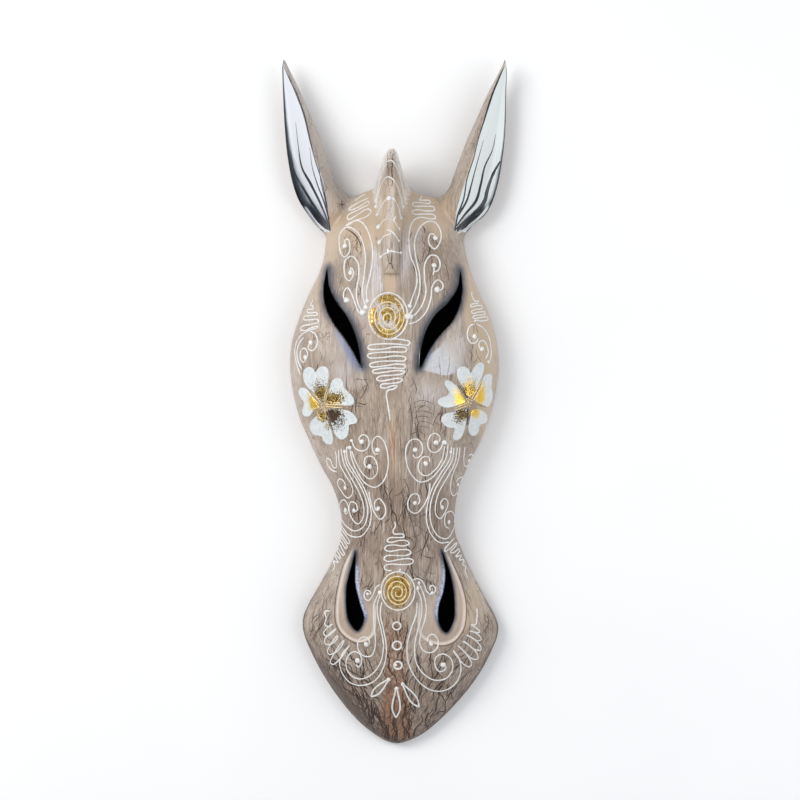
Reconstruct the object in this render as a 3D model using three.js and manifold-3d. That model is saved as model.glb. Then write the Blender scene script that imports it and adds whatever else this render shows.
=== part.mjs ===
// A decorative animal mask: the long face of a giraffe-like hoofed animal, carved from one
// plank of light wood. The face is a dome over a flat rim, the back is scooped out, the two
// ears are cupped leaves, and one mane crest stands up from the forehead. The eyes and the
// nostrils are pits, and they don't go through.
// Frame, in mm: +X to the mask's left-hand side as seen from the front (to the right of the
// picture), +Y from chin to ears, +Z out of the face. It lies on its rim, which is Z = 0.
import * as THREE from "three";
import { mergeVertices } from "three/addons/utils/BufferGeometryUtils.js";
import Module from "manifold-3d";

// ---------------------------------------------------------------- driving dimensions, mm
const RIM_WIDTH = 11; // flat rim that the mask lies on
const WALL = 16; // wood left over the hollow, measured under the plain dome
const HOLLOW_SLOPE = 1.7; // rise of the hollow's side for each mm inwards
const EDGE_ROUND = 2.4; // round on the front edge of the face
const THIN_ROUND = 1.1; // round on the edges of ears and crest
const EYE_DEPTH = 9;
const EYE_WALL = 2.2;
const CHEEK_SCOOP = 3.4; // slope that falls into the eye from the cheek
const CHEEK_REACH = 19;
const NOSTRIL_DEPTH = 8.5;
const NOSTRIL_WALL = 2.0;
const DISH_DEPTH = 2.4; // shallow dish round each nostril
const DISH_STEP = 1.5;
const HANGER = { width: 28, from: 112, to: 143, depth: 12 }; // notch whose upper wall sits on a nail or hook
const EAR_BASE_Y = 118;
const HEAD_TOP_Y = 157;

// half outline of the face, rows [Y, left X, right X], from chin to the foot of the ears
const FACE = [
  [-249.6, -2.8, 7.4], [-247.8, -7.4, 12.5], [-243.2, -14.7, 21.2], [-234.3, -25.7, 32.2],
  [-221, -37.4, 45.4], [-207.8, -46.9, 56.4], [-194.6, -54.9, 65.2], [-181.4, -61.5, 71.8],
  [-171.2, -65.6, 75.8], [-163.9, -67, 76.5], [-156.5, -66.3, 74], [-147.7, -62.6, 69.2],
  [-133, -54.2, 61.5], [-118.3, -46.1, 54.1], [-106.6, -41, 49], [-97.8, -38.8, 45.3],
  [-86.1, -38.4, 44.4], [-75.9, -40.2, 44.8], [-62.7, -44.6, 47.7], [-45.2, -54.1, 54.9],
  [-27.6, -62.2, 63.6], [-10.1, -69.5, 70.2], [7.5, -73.9, 74.6], [26.5, -76.1, 76.8],
  [42.6, -75, 75.3], [60.2, -69.9, 71], [77.7, -62.9, 63.6], [95.3, -54.5, 56.3],
  [107, -51, 53], [114.3, -50.2, 51.6],
];
// the head goes on under the ears to its own round top
const HEAD_TOP = [
  [124, -48.6, 49.6], [134, -45.6, 46.6], [143, -40.5, 41.5], [149, -33.5, 34.5],
];
const CHIN = [2.2, -250.2];
const TOP_LEFT = [[-31.5, 150.7], [-27.3, 151], [-22.4, 152.8], [-17.6, 154.7]];
const TOP_RIGHT = [[14.4, 153.9], [19.8, 151.2], [25.9, 149.7], [31.9, 149.7]];
const CREST_FOOT_LEFT = [-13.8, 156.7];
const CREST_FOOT_RIGHT = [10.8, 157.2];
const CREST_OUTLINE = [[8.9, 161.9], [5.9, 168.6], [4, 174.8], [2.6, 179.6], [0.9, 182.3], [-1.9, 182.9], [-4.6, 182.1], [-6.6, 179.4], [-8.3, 174.8], [-10.4, 166.8], [-12.7, 160.1]];

// an ear: rows [Y, lateral edge, top edge of the cup, medial edge], X outward from the middle
const EAR_LEFT = {
  side: -1, tip: [-80.5, 250],
  lateral: [[120, 49.7], [123.9, 51.3], [130.4, 57.9], [137.9, 63.4], [148.2, 69.9], [162.4, 74.6], [180.6, 77.9], [199.6, 79.7], [217.9, 80.7], [236.9, 81.4], [245.6, 81.4]],
  ridge: [[118, 46.2], [124.3, 46.5], [129.6, 46.8], [146.9, 49], [160.6, 51.7], [174.7, 56.4], [191.3, 61.1], [207.3, 64.8], [223.4, 70.4], [235.2, 75.6], [246.5, 80.3]],
  medial: [[118, 20], [130, 23], [142, 28], [152.4, 35.8], [155.3, 39.5], [160.2, 42.5], [168.1, 45.5], [178.5, 49], [193.9, 54.1], [205.6, 59.2], [213.6, 62.5], [222.4, 66.5], [232.2, 70.9], [242.1, 76], [248.9, 79.3]],
};
const EAR_RIGHT = {
  side: 1, tip: [80.9, 250],
  lateral: [[117.8, 51.3], [122.2, 51.9], [127.3, 55.7], [132.4, 61.6], [138.2, 67.4], [145.8, 71.6], [159.2, 75.8], [178.4, 79.2], [197.8, 81.2], [224.4, 81.8], [242.7, 82.2]],
  ridge: [[118, 44], [123.5, 44.2], [135.6, 44.9], [150.3, 48.5], [162.7, 52.7], [176.8, 57.2], [192.1, 61.1], [204.7, 65.3], [222.5, 71.2], [234.5, 76], [246.5, 80.9]],
  medial: [[118, 20], [130, 23], [142, 29], [152.4, 36.8], [157.3, 40.6], [165.4, 43.5], [178.5, 48.2], [191.7, 53.3], [204.8, 59.2], [218, 65], [227.5, 69.4], [235.5, 73.8], [247.2, 79.7]],
};
const EAR_RIM_Z = [[118, 12], [124, 13], [135, 15], [160, 17], [200, 17], [235, 18], [250, 19]];
const EAR_RIDGE_Z = [[118, 23], [126, 25], [140, 32], [160, 36], [180, 35], [205, 31], [230, 25], [250, 20]];
const EAR_SCOOP = [[118, 0], [124, 1.5], [135, 5.5], [160, 6], [200, 3.6], [235, 1.2], [250, 0]];
const EAR_MEDIAL_Z = [[118, 14], [160, 15], [200, 15], [250, 18.5]];
const EAR_EDGE = 3.6; // thickness of the ear at its edges

// heights along the face: rows [Y, Z]
const RIM_Z = [[-250, 7], [-225, 9], [-165, 10], [-100, 12], [100, 13], [157, 13]];
const DOME_Z = [[-250.2, 8.5], [-243, 14], [-228, 23], [-205, 34.5], [-180, 44], [-155, 51], [-130, 54], [-105, 52.5], [-75, 49], [-40, 49.5], [0, 53], [40, 58], [75, 60.5], [105, 57.5], [125, 49], [140, 37], [150, 26], [157, 16]];
const DOME_POWER = [[-250, 2.0], [-160, 2.0], [-90, 2.2], [120, 2.3]];
const DOME_FULL = [[-250, 0.82], [-160, 0.8], [-110, 0.66], [-70, 0.6], [160, 0.6]];
// carved middle line and the flat nose bridge on it: rows [Y, value]
const AXIS_X = [[-250, 2.3], [-137, 2.2], [-85, 1.5], [-20, -1], [60, -2], [181, -1.7]];
const BRIDGE_HALF = [[-200, 9], [-140, 9], [-60, 8], [-20, 10], [30, 14], [70, 13], [130, 11], [157, 9]];
const BRIDGE_RISE = [[-235, 0], [-200, 1.2], [-150, 3.4], [-110, 3.6], [-60, 3.2], [0, 3.2], [60, 3.6], [125, 3.6], [150, 1.5], [157, 0]];
const BRIDGE_FALL = [[-200, 9], [-140, 9], [-60, 7], [60, 6], [157, 6]];
// mane crest: spine height, half width of the spine and of the foot
const CREST_START_Y = 92;
const CREST_TOP_Z = [[92, 67], [110, 68.6], [128, 68.8], [145, 66], [158, 61], [168, 55.5], [176, 49.5], [182.9, 43.5]];
const CREST_SPINE = [[92, 3.4], [115, 2.6], [150, 2.2], [172, 2.0], [181, 1.6]];
const CREST_FOOT = [[92, 5.6], [105, 7.2], [116, 7.6], [132, 8.8], [145, 10.6], [154, 12.2], [158, 11.6], [164, 9.4], [170, 7.8], [176, 5.2], [181, 2.8]];
const CREST_EDGE_Z = [[150, 20], [157, 23], [165, 31], [172, 37], [181, 41]];
const CREST_BACK_SLOPE = 1.3;

// eyes and nostrils: the outline of each pit, from its top point down the outer side, then up the inner side
const EYE_LEFT = [[-48.2, 97.1], [-50.9, 83.2], [-49.7, 69.8], [-44.2, 57], [-36.5, 46.6], [-29.6, 35.6], [-23.2, 24.2], [-24.2, 35], [-27.8, 49.4], [-33.6, 61.9], [-41, 72.3], [-46.2, 83.5]];
const EYE_RIGHT = [[47.9, 95.5], [49.6, 82], [47.8, 69.8], [42.8, 58], [35.2, 49.4], [26.8, 39.3], [18.6, 24.4], [18.9, 35], [22, 48.9], [29, 62.2], [38.2, 71.3], [45.3, 82.5]];
const NOSTRIL_LEFT = [[-27.6, -107.5], [-30.6, -118], [-34, -131.5], [-34.5, -145], [-32.6, -157.2], [-26.5, -164.8], [-21.2, -155.7], [-23.8, -145.4], [-27.3, -131.4], [-27.5, -118]];
const NOSTRIL_RIGHT = [[34.2, -106.5], [39, -118.2], [42.2, -130.5], [43.7, -143.5], [43.2, -157.5], [37.6, -166.3], [32.3, -158.8], [31.8, -147.5], [35.3, -136], [36.8, -121.5]];
const DISH_LEFT = [[-28, -104], [-35.4, -115], [-40.2, -131], [-42.7, -147.5], [-41.6, -161], [-36.3, -168.8], [-25.2, -173.8], [-14.5, -168], [-12.6, -145], [-18, -120]];
const DISH_RIGHT = [[35, -104], [43.2, -118], [49.2, -132], [52.5, -147.5], [50.5, -164.1], [42.8, -173.6], [31.8, -175.6], [18.5, -168], [17.2, -145], [23, -120]];

// mesh sizes
const OUTLINE_STEP = 4, FRONT_STEP = 7.2, BACK_STEP = 11;

// ---------------------------------------------------------------- small helpers
const clamp = (v, a, b) => Math.min(b, Math.max(a, v));
const smooth = (a, b, v) => { const t = clamp((v - a) / (b - a), 0, 1); return t * t * (3 - 2 * t); };
const softMax = (a, b, k) => Math.max(a, b) + (k / 4) * Math.max(0, 1 - Math.abs(a - b) / k) ** 2;
const softMin = (a, b, k) => -softMax(-a, -b, k);

// value at y of a smooth monotone curve through rows [y, value]
function at(rows, y, col = 1) {
  const n = rows.length;
  if (y <= rows[0][0]) return rows[0][col];
  if (y >= rows[n - 1][0]) return rows[n - 1][col];
  let i = 0;
  while (rows[i + 1][0] < y) i++;
  const slope = (k) => (rows[k + 1][col] - rows[k][col]) / (rows[k + 1][0] - rows[k][0]);
  const tangent = (k) => {
    if (k === 0) return slope(0);
    if (k === n - 1) return slope(n - 2);
    const a = slope(k - 1), b = slope(k);
    return a * b <= 0 ? 0 : (3 * a * b) / (a + b + Math.sign(a) * Math.max(Math.abs(a), Math.abs(b)));
  };
  const h = rows[i + 1][0] - rows[i][0], t = (y - rows[i][0]) / h;
  return (2 * t ** 3 - 3 * t * t + 1) * rows[i][col] + (t ** 3 - 2 * t * t + t) * h * tangent(i)
    + (3 * t * t - 2 * t ** 3) * rows[i + 1][col] + (t ** 3 - t * t) * h * tangent(i + 1);
}

// a smooth run through points, at an even step, without its last point
function run(points, step) {
  const curve = new THREE.CatmullRomCurve3(points.map((p) => new THREE.Vector3(p[0], p[1], 0)), false, "centripetal");
  curve.arcLengthDivisions = 1200;
  const n = Math.max(2, Math.round(curve.getLength() / step));
  return curve.getSpacedPoints(n).slice(0, n).map((p) => [p.x, p.y]);
}
function ring(points, step) {
  const curve = new THREE.CatmullRomCurve3(points.map((p) => new THREE.Vector3(p[0], p[1], 0)), true, "centripetal");
  const n = Math.max(6, Math.round(curve.getLength() / step));
  return curve.getSpacedPoints(n).slice(0, n).map((p) => [p.x, p.y]);
}

// signed distance to a closed polygon, positive inside
function inside(poly, x, y) {
  let d = Infinity, odd = false;
  for (let i = 0, j = poly.length - 1; i < poly.length; j = i++) {
    const [ax, ay] = poly[j], [bx, by] = poly[i];
    const t = clamp(((x - ax) * (bx - ax) + (y - ay) * (by - ay)) / ((bx - ax) ** 2 + (by - ay) ** 2), 0, 1);
    d = Math.min(d, Math.hypot(x - ax - t * (bx - ax), y - ay - t * (by - ay)));
    if (ay > y !== by > y && x < ((bx - ax) * (y - ay)) / (by - ay) + ax) odd = !odd;
  }
  return odd ? d : -d;
}

// ---------------------------------------------------------------- outlines
const rightFace = FACE.map(([y, , r]) => [r, y]);
const leftFace = FACE.map(([y, l]) => [l, y]).reverse();
const earEdge = (ear, rows) => rows.map(([y, x]) => [ear.side * x, y]);
const upTo = (rows) => rows.filter((r) => r[0] >= 152);

const outline = [
  ...run([CHIN, ...rightFace, ...earEdge(EAR_RIGHT, EAR_RIGHT.lateral), EAR_RIGHT.tip], OUTLINE_STEP),
  ...run([EAR_RIGHT.tip, ...earEdge(EAR_RIGHT, upTo(EAR_RIGHT.medial)).reverse(), ...TOP_RIGHT.slice().reverse(), CREST_FOOT_RIGHT], OUTLINE_STEP),
  ...run([CREST_FOOT_RIGHT, ...CREST_OUTLINE, CREST_FOOT_LEFT], OUTLINE_STEP * 0.8),
  ...run([CREST_FOOT_LEFT, ...TOP_LEFT.slice().reverse(), ...earEdge(EAR_LEFT, upTo(EAR_LEFT.medial)), EAR_LEFT.tip], OUTLINE_STEP),
  ...run([EAR_LEFT.tip, ...earEdge(EAR_LEFT, EAR_LEFT.lateral).reverse(), ...leftFace, CHIN], OUTLINE_STEP),
];
// the head alone, without ears and crest
const headOutline = ring([
  CHIN, ...rightFace, ...HEAD_TOP.map(([y, , r]) => [r, y]), ...TOP_RIGHT.slice(0, 3).reverse(), CREST_FOOT_RIGHT,
  CREST_FOOT_LEFT, ...TOP_LEFT.slice(1).reverse(), ...HEAD_TOP.map(([y, l]) => [l, y]).reverse(), ...leftFace,
], 4);
const HEAD_ROWS = [...FACE, ...HEAD_TOP, [157, -20, 20]];
const eyes = [EYE_LEFT, EYE_RIGHT].map((p) => ring(p, 1));
const nostrils = [NOSTRIL_LEFT, NOSTRIL_RIGHT].map((p) => ring(p, 1));
const dishes = [DISH_LEFT, DISH_RIGHT].map((p) => ring(p, 2));

// ---------------------------------------------------------------- the carved front
// the plain dome of the face: across each row it falls from the middle to the rim
function dome(x, y) {
  const axis = at(AXIS_X, y), left = at(HEAD_ROWS, y, 1), right = at(HEAD_ROWS, y, 2);
  const u = x < axis ? (axis - x) / (axis - left) : (x - axis) / (right - axis);
  const rim = at(RIM_Z, y), top = Math.max(rim, at(DOME_Z, y));
  if (u >= 1) return rim - 3 * Math.max(x - right, left - x);
  return rim + (top - rim) * (1 - u ** at(DOME_POWER, y)) ** at(DOME_FULL, y);
}

function bridge(x, y) {
  const a = Math.abs(x - at(AXIS_X, y)), half = at(BRIDGE_HALF, y);
  return at(BRIDGE_RISE, y) * (1 - smooth(half, half + at(BRIDGE_FALL, y), a));
}

// cheek slope below each eye, deepest at the eye's lower edge
function cheek(x, y) {
  let drop = 0;
  eyes.forEach((eye, i) => {
    const side = i ? 1 : -1, out = -inside(eye, x, y);
    const top = [side * 48, 96], foot = [side * 20.5, 24];
    const dx = foot[0] - top[0], dy = foot[1] - top[1], len = Math.hypot(dx, dy);
    const s = ((x - top[0]) * dx + (y - top[1]) * dy) / (len * len);
    const off = (side * ((x - top[0]) * -dy + (y - top[1]) * dx)) / len; // positive on the cheek's side
    if (out > 0 && off > 0) drop += CHEEK_SCOOP * Math.max(0, 1 - out / CHEEK_REACH) * smooth(0.2, 0.6, s) * (1 - smooth(1.02, 1.22, s)) * smooth(0, 3, off);
  });
  return drop;
}

function pits(x, y) {
  let drop = 0;
  for (const eye of eyes) drop += EYE_DEPTH * smooth(0, EYE_WALL, inside(eye, x, y));
  for (const n of nostrils) drop += NOSTRIL_DEPTH * smooth(0, NOSTRIL_WALL, inside(n, x, y));
  const away = Math.abs(x - at(AXIS_X, y));
  for (const d of dishes) drop += DISH_DEPTH * smooth(0, DISH_STEP, inside(d, x, y)) * smooth(13, 24, away) * smooth(-104, -126, y);
  return drop;
}

function crestOver(x, y, base) {
  if (y < CREST_START_Y - 1) return base;
  const a = Math.abs(x - at(AXIS_X, y)), spine = at(CREST_SPINE, y), foot = at(CREST_FOOT, y), top = at(CREST_TOP_Z, y);
  const low = y > HEAD_TOP_Y ? at(CREST_EDGE_Z, y) : Math.max(at(DOME_Z, y) + at(BRIDGE_RISE, y), y > 150 ? at(CREST_EDGE_Z, y) : 0);
  const fin = a <= spine ? top : top - (top - low) * ((a - spine) / (foot - spine)) ** 1.25;
  return base + Math.max(0, softMax(fin, base, 0.8) - base) * smooth(CREST_START_Y - 0.8, CREST_START_Y, y);
}

function ear(e, x, y) {
  if (y < EAR_BASE_Y) return -100;
  const X = e.side * x, lat = at(e.lateral, y), rid = at(e.ridge, y), med = at(e.medial, y);
  if (X < med - 14 || y > 252) return -100;
  const rimZ = at(EAR_RIM_Z, y), ridgeZ = at(EAR_RIDGE_Z, y), medZ = at(EAR_MEDIAL_Z, y);
  if (X >= rid) {
    const t = clamp((lat - X) / Math.max(0.4, lat - rid), 0, 1);
    return rimZ + (ridgeZ - rimZ) * t ** 1.6 - at(EAR_SCOOP, y) * Math.sin(Math.PI * t ** 0.62);
  }
  const m = (rid - X) / Math.max(0.4, rid - med);
  return m <= 1 ? medZ + (ridgeZ - medZ) * (1 - m ** 1.7) : medZ - 2.5 * (med - X);
}

function front(x, y) {
  let z = y <= HEAD_TOP_Y + 2 ? dome(x, y) + bridge(x, y) - cheek(x, y) - pits(x, y) : -100;
  z = crestOver(x, y, z);
  for (const e of [EAR_LEFT, EAR_RIGHT]) z = softMax(z, ear(e, x, y), 3);
  const round = y > 130 ? THIN_ROUND : EDGE_ROUND + (THIN_ROUND - EDGE_ROUND) * smooth(110, 130, y);
  const d = Math.max(0, inside(outline, x, y));
  return d < round ? z - (round - Math.sqrt(round * round - (round - d) ** 2)) : z;
}

// ---------------------------------------------------------------- the scooped back
function back(x, y) {
  const d = inside(headOutline, x, y);
  if (d >= 0) {
    const rise = HOLLOW_SLOPE * (d - RIM_WIDTH);
    if (rise <= 0) return 0;
    return Math.max(0, softMin(rise, Math.max(0, dome(x, y) - WALL), 6));
  }
  const e = x < 0 ? EAR_LEFT : EAR_RIGHT, X = Math.abs(x);
  if (X < 25) return CREST_BACK_SLOPE * -d;
  const lat = at(e.lateral, y), med = at(e.medial, y), t = clamp((lat - X) / Math.max(0.4, lat - med), 0, 1);
  const edge = at(EAR_RIM_Z, y) * (1 - t) + at(EAR_MEDIAL_Z, y) * t - EAR_EDGE;
  return Math.max(0.5, softMin(edge - 0.32 * (lat - med) * 4 * t * (1 - t), 0.9 * -d, 2));
}

// ---------------------------------------------------------------- meshing
// plain incremental Delaunay triangulation
function delaunay(pts) {
  const P = pts.concat([[-3000, -3000], [3000, -3000], [0, 3000]]), n = pts.length;
  const circle = (a, b, c) => {
    const [ax, ay] = P[a], bx = P[b][0] - ax, by = P[b][1] - ay, cx = P[c][0] - ax, cy = P[c][1] - ay;
    const d = 2 * (bx * cy - by * cx), b2 = bx * bx + by * by, c2 = cx * cx + cy * cy;
    const ux = (cy * b2 - by * c2) / d, uy = (bx * c2 - cx * b2) / d;
    return { v: [a, b, c], x: ax + ux, y: ay + uy, r: ux * ux + uy * uy };
  };
  let tris = [circle(n, n + 1, n + 2)];
  for (let i = 0; i < n; i++) {
    const [x, y] = P[i], edges = new Map(), keep = [];
    for (const t of tris) {
      if ((t.x - x) ** 2 + (t.y - y) ** 2 >= t.r) { keep.push(t); continue; }
      for (let k = 0; k < 3; k++) {
        const a = t.v[k], b = t.v[(k + 1) % 3], back = b * 100000 + a;
        if (edges.has(back)) edges.delete(back); else edges.set(a * 100000 + b, [a, b]);
      }
    }
    for (const [a, b] of edges.values()) keep.push(circle(a, b, i));
    tris = keep;
  }
  return tris.map((t) => t.v).filter((v) => v.every((k) => k < n));
}

// points over the outline's inside: the outline, the feature lines, then an even grid in what is left
function fill(lines, step) {
  const pts = outline.map((p) => p.slice());
  const far = (x, y, r) => pts.every((p) => (p[0] - x) ** 2 + (p[1] - y) ** 2 > r * r);
  const add = (x, y, r, edge) => { if (inside(outline, x, y) > edge && far(x, y, r)) pts.push([x, y]); };
  for (const { points, gap, edge } of lines) for (const [x, y] of points) add(x, y, gap, edge ?? 1.2);
  let row = 0;
  for (let y = -246; y < 250; y += step * 0.866, row++) {
    const s = y > HEAD_TOP_Y ? step * 0.6 : step;
    for (let x = -84 + (row % 2) * s * 0.5; x < 84; x += s) add(x, y, s * 0.66, s * 0.45);
  }
  return pts;
}

const shifted = (poly, off, step) => ring(poly, step).map((p, i, all) => {
  const a = all[(i + all.length - 1) % all.length], b = all[(i + 1) % all.length], l = Math.hypot(b[0] - a[0], b[1] - a[1]);
  const q = [p[0] - (off * (b[1] - a[1])) / l, p[1] + (off * (b[0] - a[0])) / l];
  const side = inside(all, q[0], q[1]);
  return Math.abs(side) > Math.abs(off) * 0.8 ? q : null;
}).filter(Boolean);
const rowsLine = (f, from, to, step) => Array.from({ length: Math.round((to - from) / step) + 1 }, (_, i) => { const y = from + i * step; return [f(y), y]; });
const inset = (off, keep = 1) => outline.map((p, i) => {
  if (i % keep) return null;
  const a = outline[(i + outline.length - 1) % outline.length], b = outline[(i + 1) % outline.length], l = Math.hypot(b[0] - a[0], b[1] - a[1]);
  const q = [p[0] - (off * (b[1] - a[1])) / l, p[1] + (off * (b[0] - a[0])) / l];
  return inside(outline, q[0], q[1]) > off * 0.85 ? q : null;
}).filter(Boolean);

const pitLines = (poly, wall, step) => {
  const turn = THREE.ShapeUtils.area(poly.map(([x, y]) => new THREE.Vector2(x, y))) > 0 ? 1 : -1;
  return [
    { points: ring(poly, step), gap: 0.8 },
    { points: shifted(poly, turn * wall, step), gap: 1.0 },
    { points: shifted(poly, turn * -2.4, step), gap: 1.9 },
  ];
};
const crestLine = (k, rows, from, to, step) => rowsLine((y) => at(AXIS_X, y) + k * at(rows, y), from, to, step);
const frontLines = [
  ...pitLines(EYE_LEFT, EYE_WALL, 2.8), ...pitLines(EYE_RIGHT, EYE_WALL, 2.8),
  ...pitLines(NOSTRIL_LEFT, NOSTRIL_WALL, 2.6), ...pitLines(NOSTRIL_RIGHT, NOSTRIL_WALL, 2.6),
  ...pitLines(DISH_LEFT, DISH_STEP, 4), ...pitLines(DISH_RIGHT, DISH_STEP, 4),
  ...[-1, 1].flatMap((k) => [
    { points: crestLine(k, CREST_SPINE, CREST_START_Y, 180, 4), gap: 1.2, edge: 0.6 },
    { points: crestLine(k, CREST_FOOT, CREST_START_Y, 152, 4), gap: 1.2 },
    { points: crestLine(k, CREST_SPINE, CREST_START_Y - 1, CREST_START_Y, 1), gap: 0.4 },
    { points: crestLine(k, CREST_FOOT, CREST_START_Y - 1, CREST_START_Y, 1), gap: 0.4 },
  ]),
  ...[EAR_LEFT, EAR_RIGHT].flatMap((e) => [
    { points: rowsLine((y) => e.side * at(e.ridge, y), EAR_BASE_Y + 4, 244, 4), gap: 1.1, edge: 0.5 },
    { points: rowsLine((y) => e.side * (at(e.lateral, y) - 0.28 * (at(e.lateral, y) - at(e.ridge, y))), 128, 236, 5), gap: 1.4, edge: 1 },
    { points: rowsLine((y) => e.side * (at(e.ridge, y) - 0.45 * (at(e.ridge, y) - at(e.medial, y))), 150, 236, 6), gap: 1.6, edge: 1 },
  ]),
  { points: inset(EDGE_ROUND), gap: 1.4, edge: 0.9 },
];
const headInset = (off) => headOutline.map((p, i) => {
  const a = headOutline[(i + headOutline.length - 1) % headOutline.length], b = headOutline[(i + 1) % headOutline.length], l = Math.hypot(b[0] - a[0], b[1] - a[1]);
  const q = [p[0] - (off * (b[1] - a[1])) / l, p[1] + (off * (b[0] - a[0])) / l];
  return inside(headOutline, q[0], q[1]) > off * 0.93 ? q : null;
}).filter(Boolean);
const backLines = [
  { points: headInset(RIM_WIDTH), gap: 2.4 },
  { points: headInset(RIM_WIDTH + 8), gap: 3.2 },
  { points: headOutline.filter((p, i) => p[1] > EAR_BASE_Y && i % 2 === 0), gap: 2.5, edge: 1.5 },
];

// one closed shell: front and back over the same outline, joined by a side wall
function carvedBody() {
  const position = [], index = [], ends = [];
  for (const [lines, step, height, flip] of [[frontLines, FRONT_STEP, front, false], [backLines, BACK_STEP, back, true]]) {
    const pts = fill(lines, step), base = position.length / 3;
    ends.push(base);
    for (const [x, y] of pts) position.push(x, y, height(x, y));
    for (const [a, b, c] of delaunay(pts)) {
      const cx = (pts[a][0] + pts[b][0] + pts[c][0]) / 3, cy = (pts[a][1] + pts[b][1] + pts[c][1]) / 3;
      if (inside(outline, cx, cy) <= 0) continue;
      const up = (pts[b][0] - pts[a][0]) * (pts[c][1] - pts[a][1]) - (pts[b][1] - pts[a][1]) * (pts[c][0] - pts[a][0]) > 0;
      index.push(base + a, ...(up !== flip ? [base + b, base + c] : [base + c, base + b]));
    }
  }
  const n = outline.length, [f, r] = ends;
  for (let i = 0; i < n; i++) {
    const j = (i + 1) % n;
    index.push(f + i, r + i, r + j, f + i, r + j, f + j);
  }
  const g = new THREE.BufferGeometry();
  g.setAttribute("position", new THREE.Float32BufferAttribute(position, 3));
  g.setIndex(index);
  return g;
}

// ---------------------------------------------------------------- cut the hanging notch and finish
const wasm = await Module();
wasm.setup();
const solid = (geometry) => {
  const g = geometry.clone();
  g.deleteAttribute("normal");
  g.deleteAttribute("uv");
  const m = mergeVertices(g, 1e-3);
  return new wasm.Manifold(new wasm.Mesh({ numProp: 3, vertProperties: new Float32Array(m.attributes.position.array), triVerts: new Uint32Array(m.index.array) }));
};
const notch = new THREE.BoxGeometry(HANGER.width, HANGER.to - HANGER.from, HANGER.depth + 4);
notch.translate(at(AXIS_X, HANGER.to), (HANGER.to + HANGER.from) / 2, (HANGER.depth - 4) / 2);
const carved = solid(carvedBody()).subtract(solid(notch)).getMesh();
const geometry = new THREE.BufferGeometry();
geometry.setAttribute("position", new THREE.Float32BufferAttribute(Array.from(carved.vertProperties), 3));
geometry.setIndex(Array.from(carved.triVerts));
geometry.computeVertexNormals();

const mask = new THREE.Mesh(geometry, new THREE.MeshStandardMaterial({ color: 0xa8957f, roughness: 0.42, metalness: 0 }));
mask.name = "carved_mask";
const group = new THREE.Group();
group.add(mask);
export default group;
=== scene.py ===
# Looks of a carved wooden animal mask: grey-washed crackled wood under satin lacquer, black
# pits with smoky edges, painted ears, raised white lines, white petals and gold leaf.
# The relief is worked out in mm, in the same frame as the solid it stands for.
import math
import bpy
import numpy as np
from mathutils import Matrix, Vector
from mathutils.bvhtree import BVHTree
from mathutils.geometry import delaunay_2d_cdt


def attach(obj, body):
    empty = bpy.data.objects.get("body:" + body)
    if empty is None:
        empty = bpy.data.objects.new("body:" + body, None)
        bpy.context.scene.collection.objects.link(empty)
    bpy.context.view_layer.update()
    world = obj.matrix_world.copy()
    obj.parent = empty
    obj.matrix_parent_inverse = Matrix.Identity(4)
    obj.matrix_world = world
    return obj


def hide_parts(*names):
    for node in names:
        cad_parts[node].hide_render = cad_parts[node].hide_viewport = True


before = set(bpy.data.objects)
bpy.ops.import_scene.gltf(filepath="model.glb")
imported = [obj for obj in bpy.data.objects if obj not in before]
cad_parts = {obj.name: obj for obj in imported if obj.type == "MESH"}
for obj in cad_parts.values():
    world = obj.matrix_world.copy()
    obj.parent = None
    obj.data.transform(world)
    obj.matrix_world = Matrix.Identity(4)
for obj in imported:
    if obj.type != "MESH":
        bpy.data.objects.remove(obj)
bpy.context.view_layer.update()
rng = np.random.default_rng(7)

# ------------------------------------------------------------------ camera, over the mask as it lies
CAM_X, CAM_Y, CAM_H, MM_PER_PX = 4.38, 1.65, 2000.0, 0.736
cam_data = bpy.data.cameras.new("camera")
cam_data.sensor_width = 36
cam_data.lens = 36 * CAM_H / (MM_PER_PX * 800)
cam_data.clip_end = 20
cam = bpy.data.objects.new("camera", cam_data)
cam.location = (CAM_X / 1000, CAM_Y / 1000, CAM_H / 1000)
bpy.context.scene.collection.objects.link(cam)
bpy.context.scene.camera = cam

# ------------------------------------------------------------------ sizes of the relief, mm
RIM_WIDTH, WALL, HOLLOW_SLOPE = 11, 16, 1.7
EDGE_ROUND, THIN_ROUND = 2.4, 1.1
EYE_DEPTH, EYE_WALL = 9, 2.2
CHEEK_SCOOP, CHEEK_REACH = 3.4, 19
NOSTRIL_DEPTH, NOSTRIL_WALL = 8.5, 2.0
DISH_DEPTH, DISH_STEP = 2.4, 1.5
HANGER = {"width": 28, "from": 112, "to": 143, "depth": 12}
EAR_BASE_Y, HEAD_TOP_Y = 118, 157
FACE = [
    [-249.6, -2.8, 7.4], [-247.8, -7.4, 12.5], [-243.2, -14.7, 21.2], [-234.3, -25.7, 32.2],
    [-221, -37.4, 45.4], [-207.8, -46.9, 56.4], [-194.6, -54.9, 65.2], [-181.4, -61.5, 71.8],
    [-171.2, -65.6, 75.8], [-163.9, -67, 76.5], [-156.5, -66.3, 74], [-147.7, -62.6, 69.2],
    [-133, -54.2, 61.5], [-118.3, -46.1, 54.1], [-106.6, -41, 49], [-97.8, -38.8, 45.3],
    [-86.1, -38.4, 44.4], [-75.9, -40.2, 44.8], [-62.7, -44.6, 47.7], [-45.2, -54.1, 54.9],
    [-27.6, -62.2, 63.6], [-10.1, -69.5, 70.2], [7.5, -73.9, 74.6], [26.5, -76.1, 76.8],
    [42.6, -75, 75.3], [60.2, -69.9, 71], [77.7, -62.9, 63.6], [95.3, -54.5, 56.3],
    [107, -51, 53], [114.3, -50.2, 51.6],
]
HEAD_TOP = [[124, -48.6, 49.6], [134, -45.6, 46.6], [143, -40.5, 41.5], [149, -33.5, 34.5]]
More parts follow.
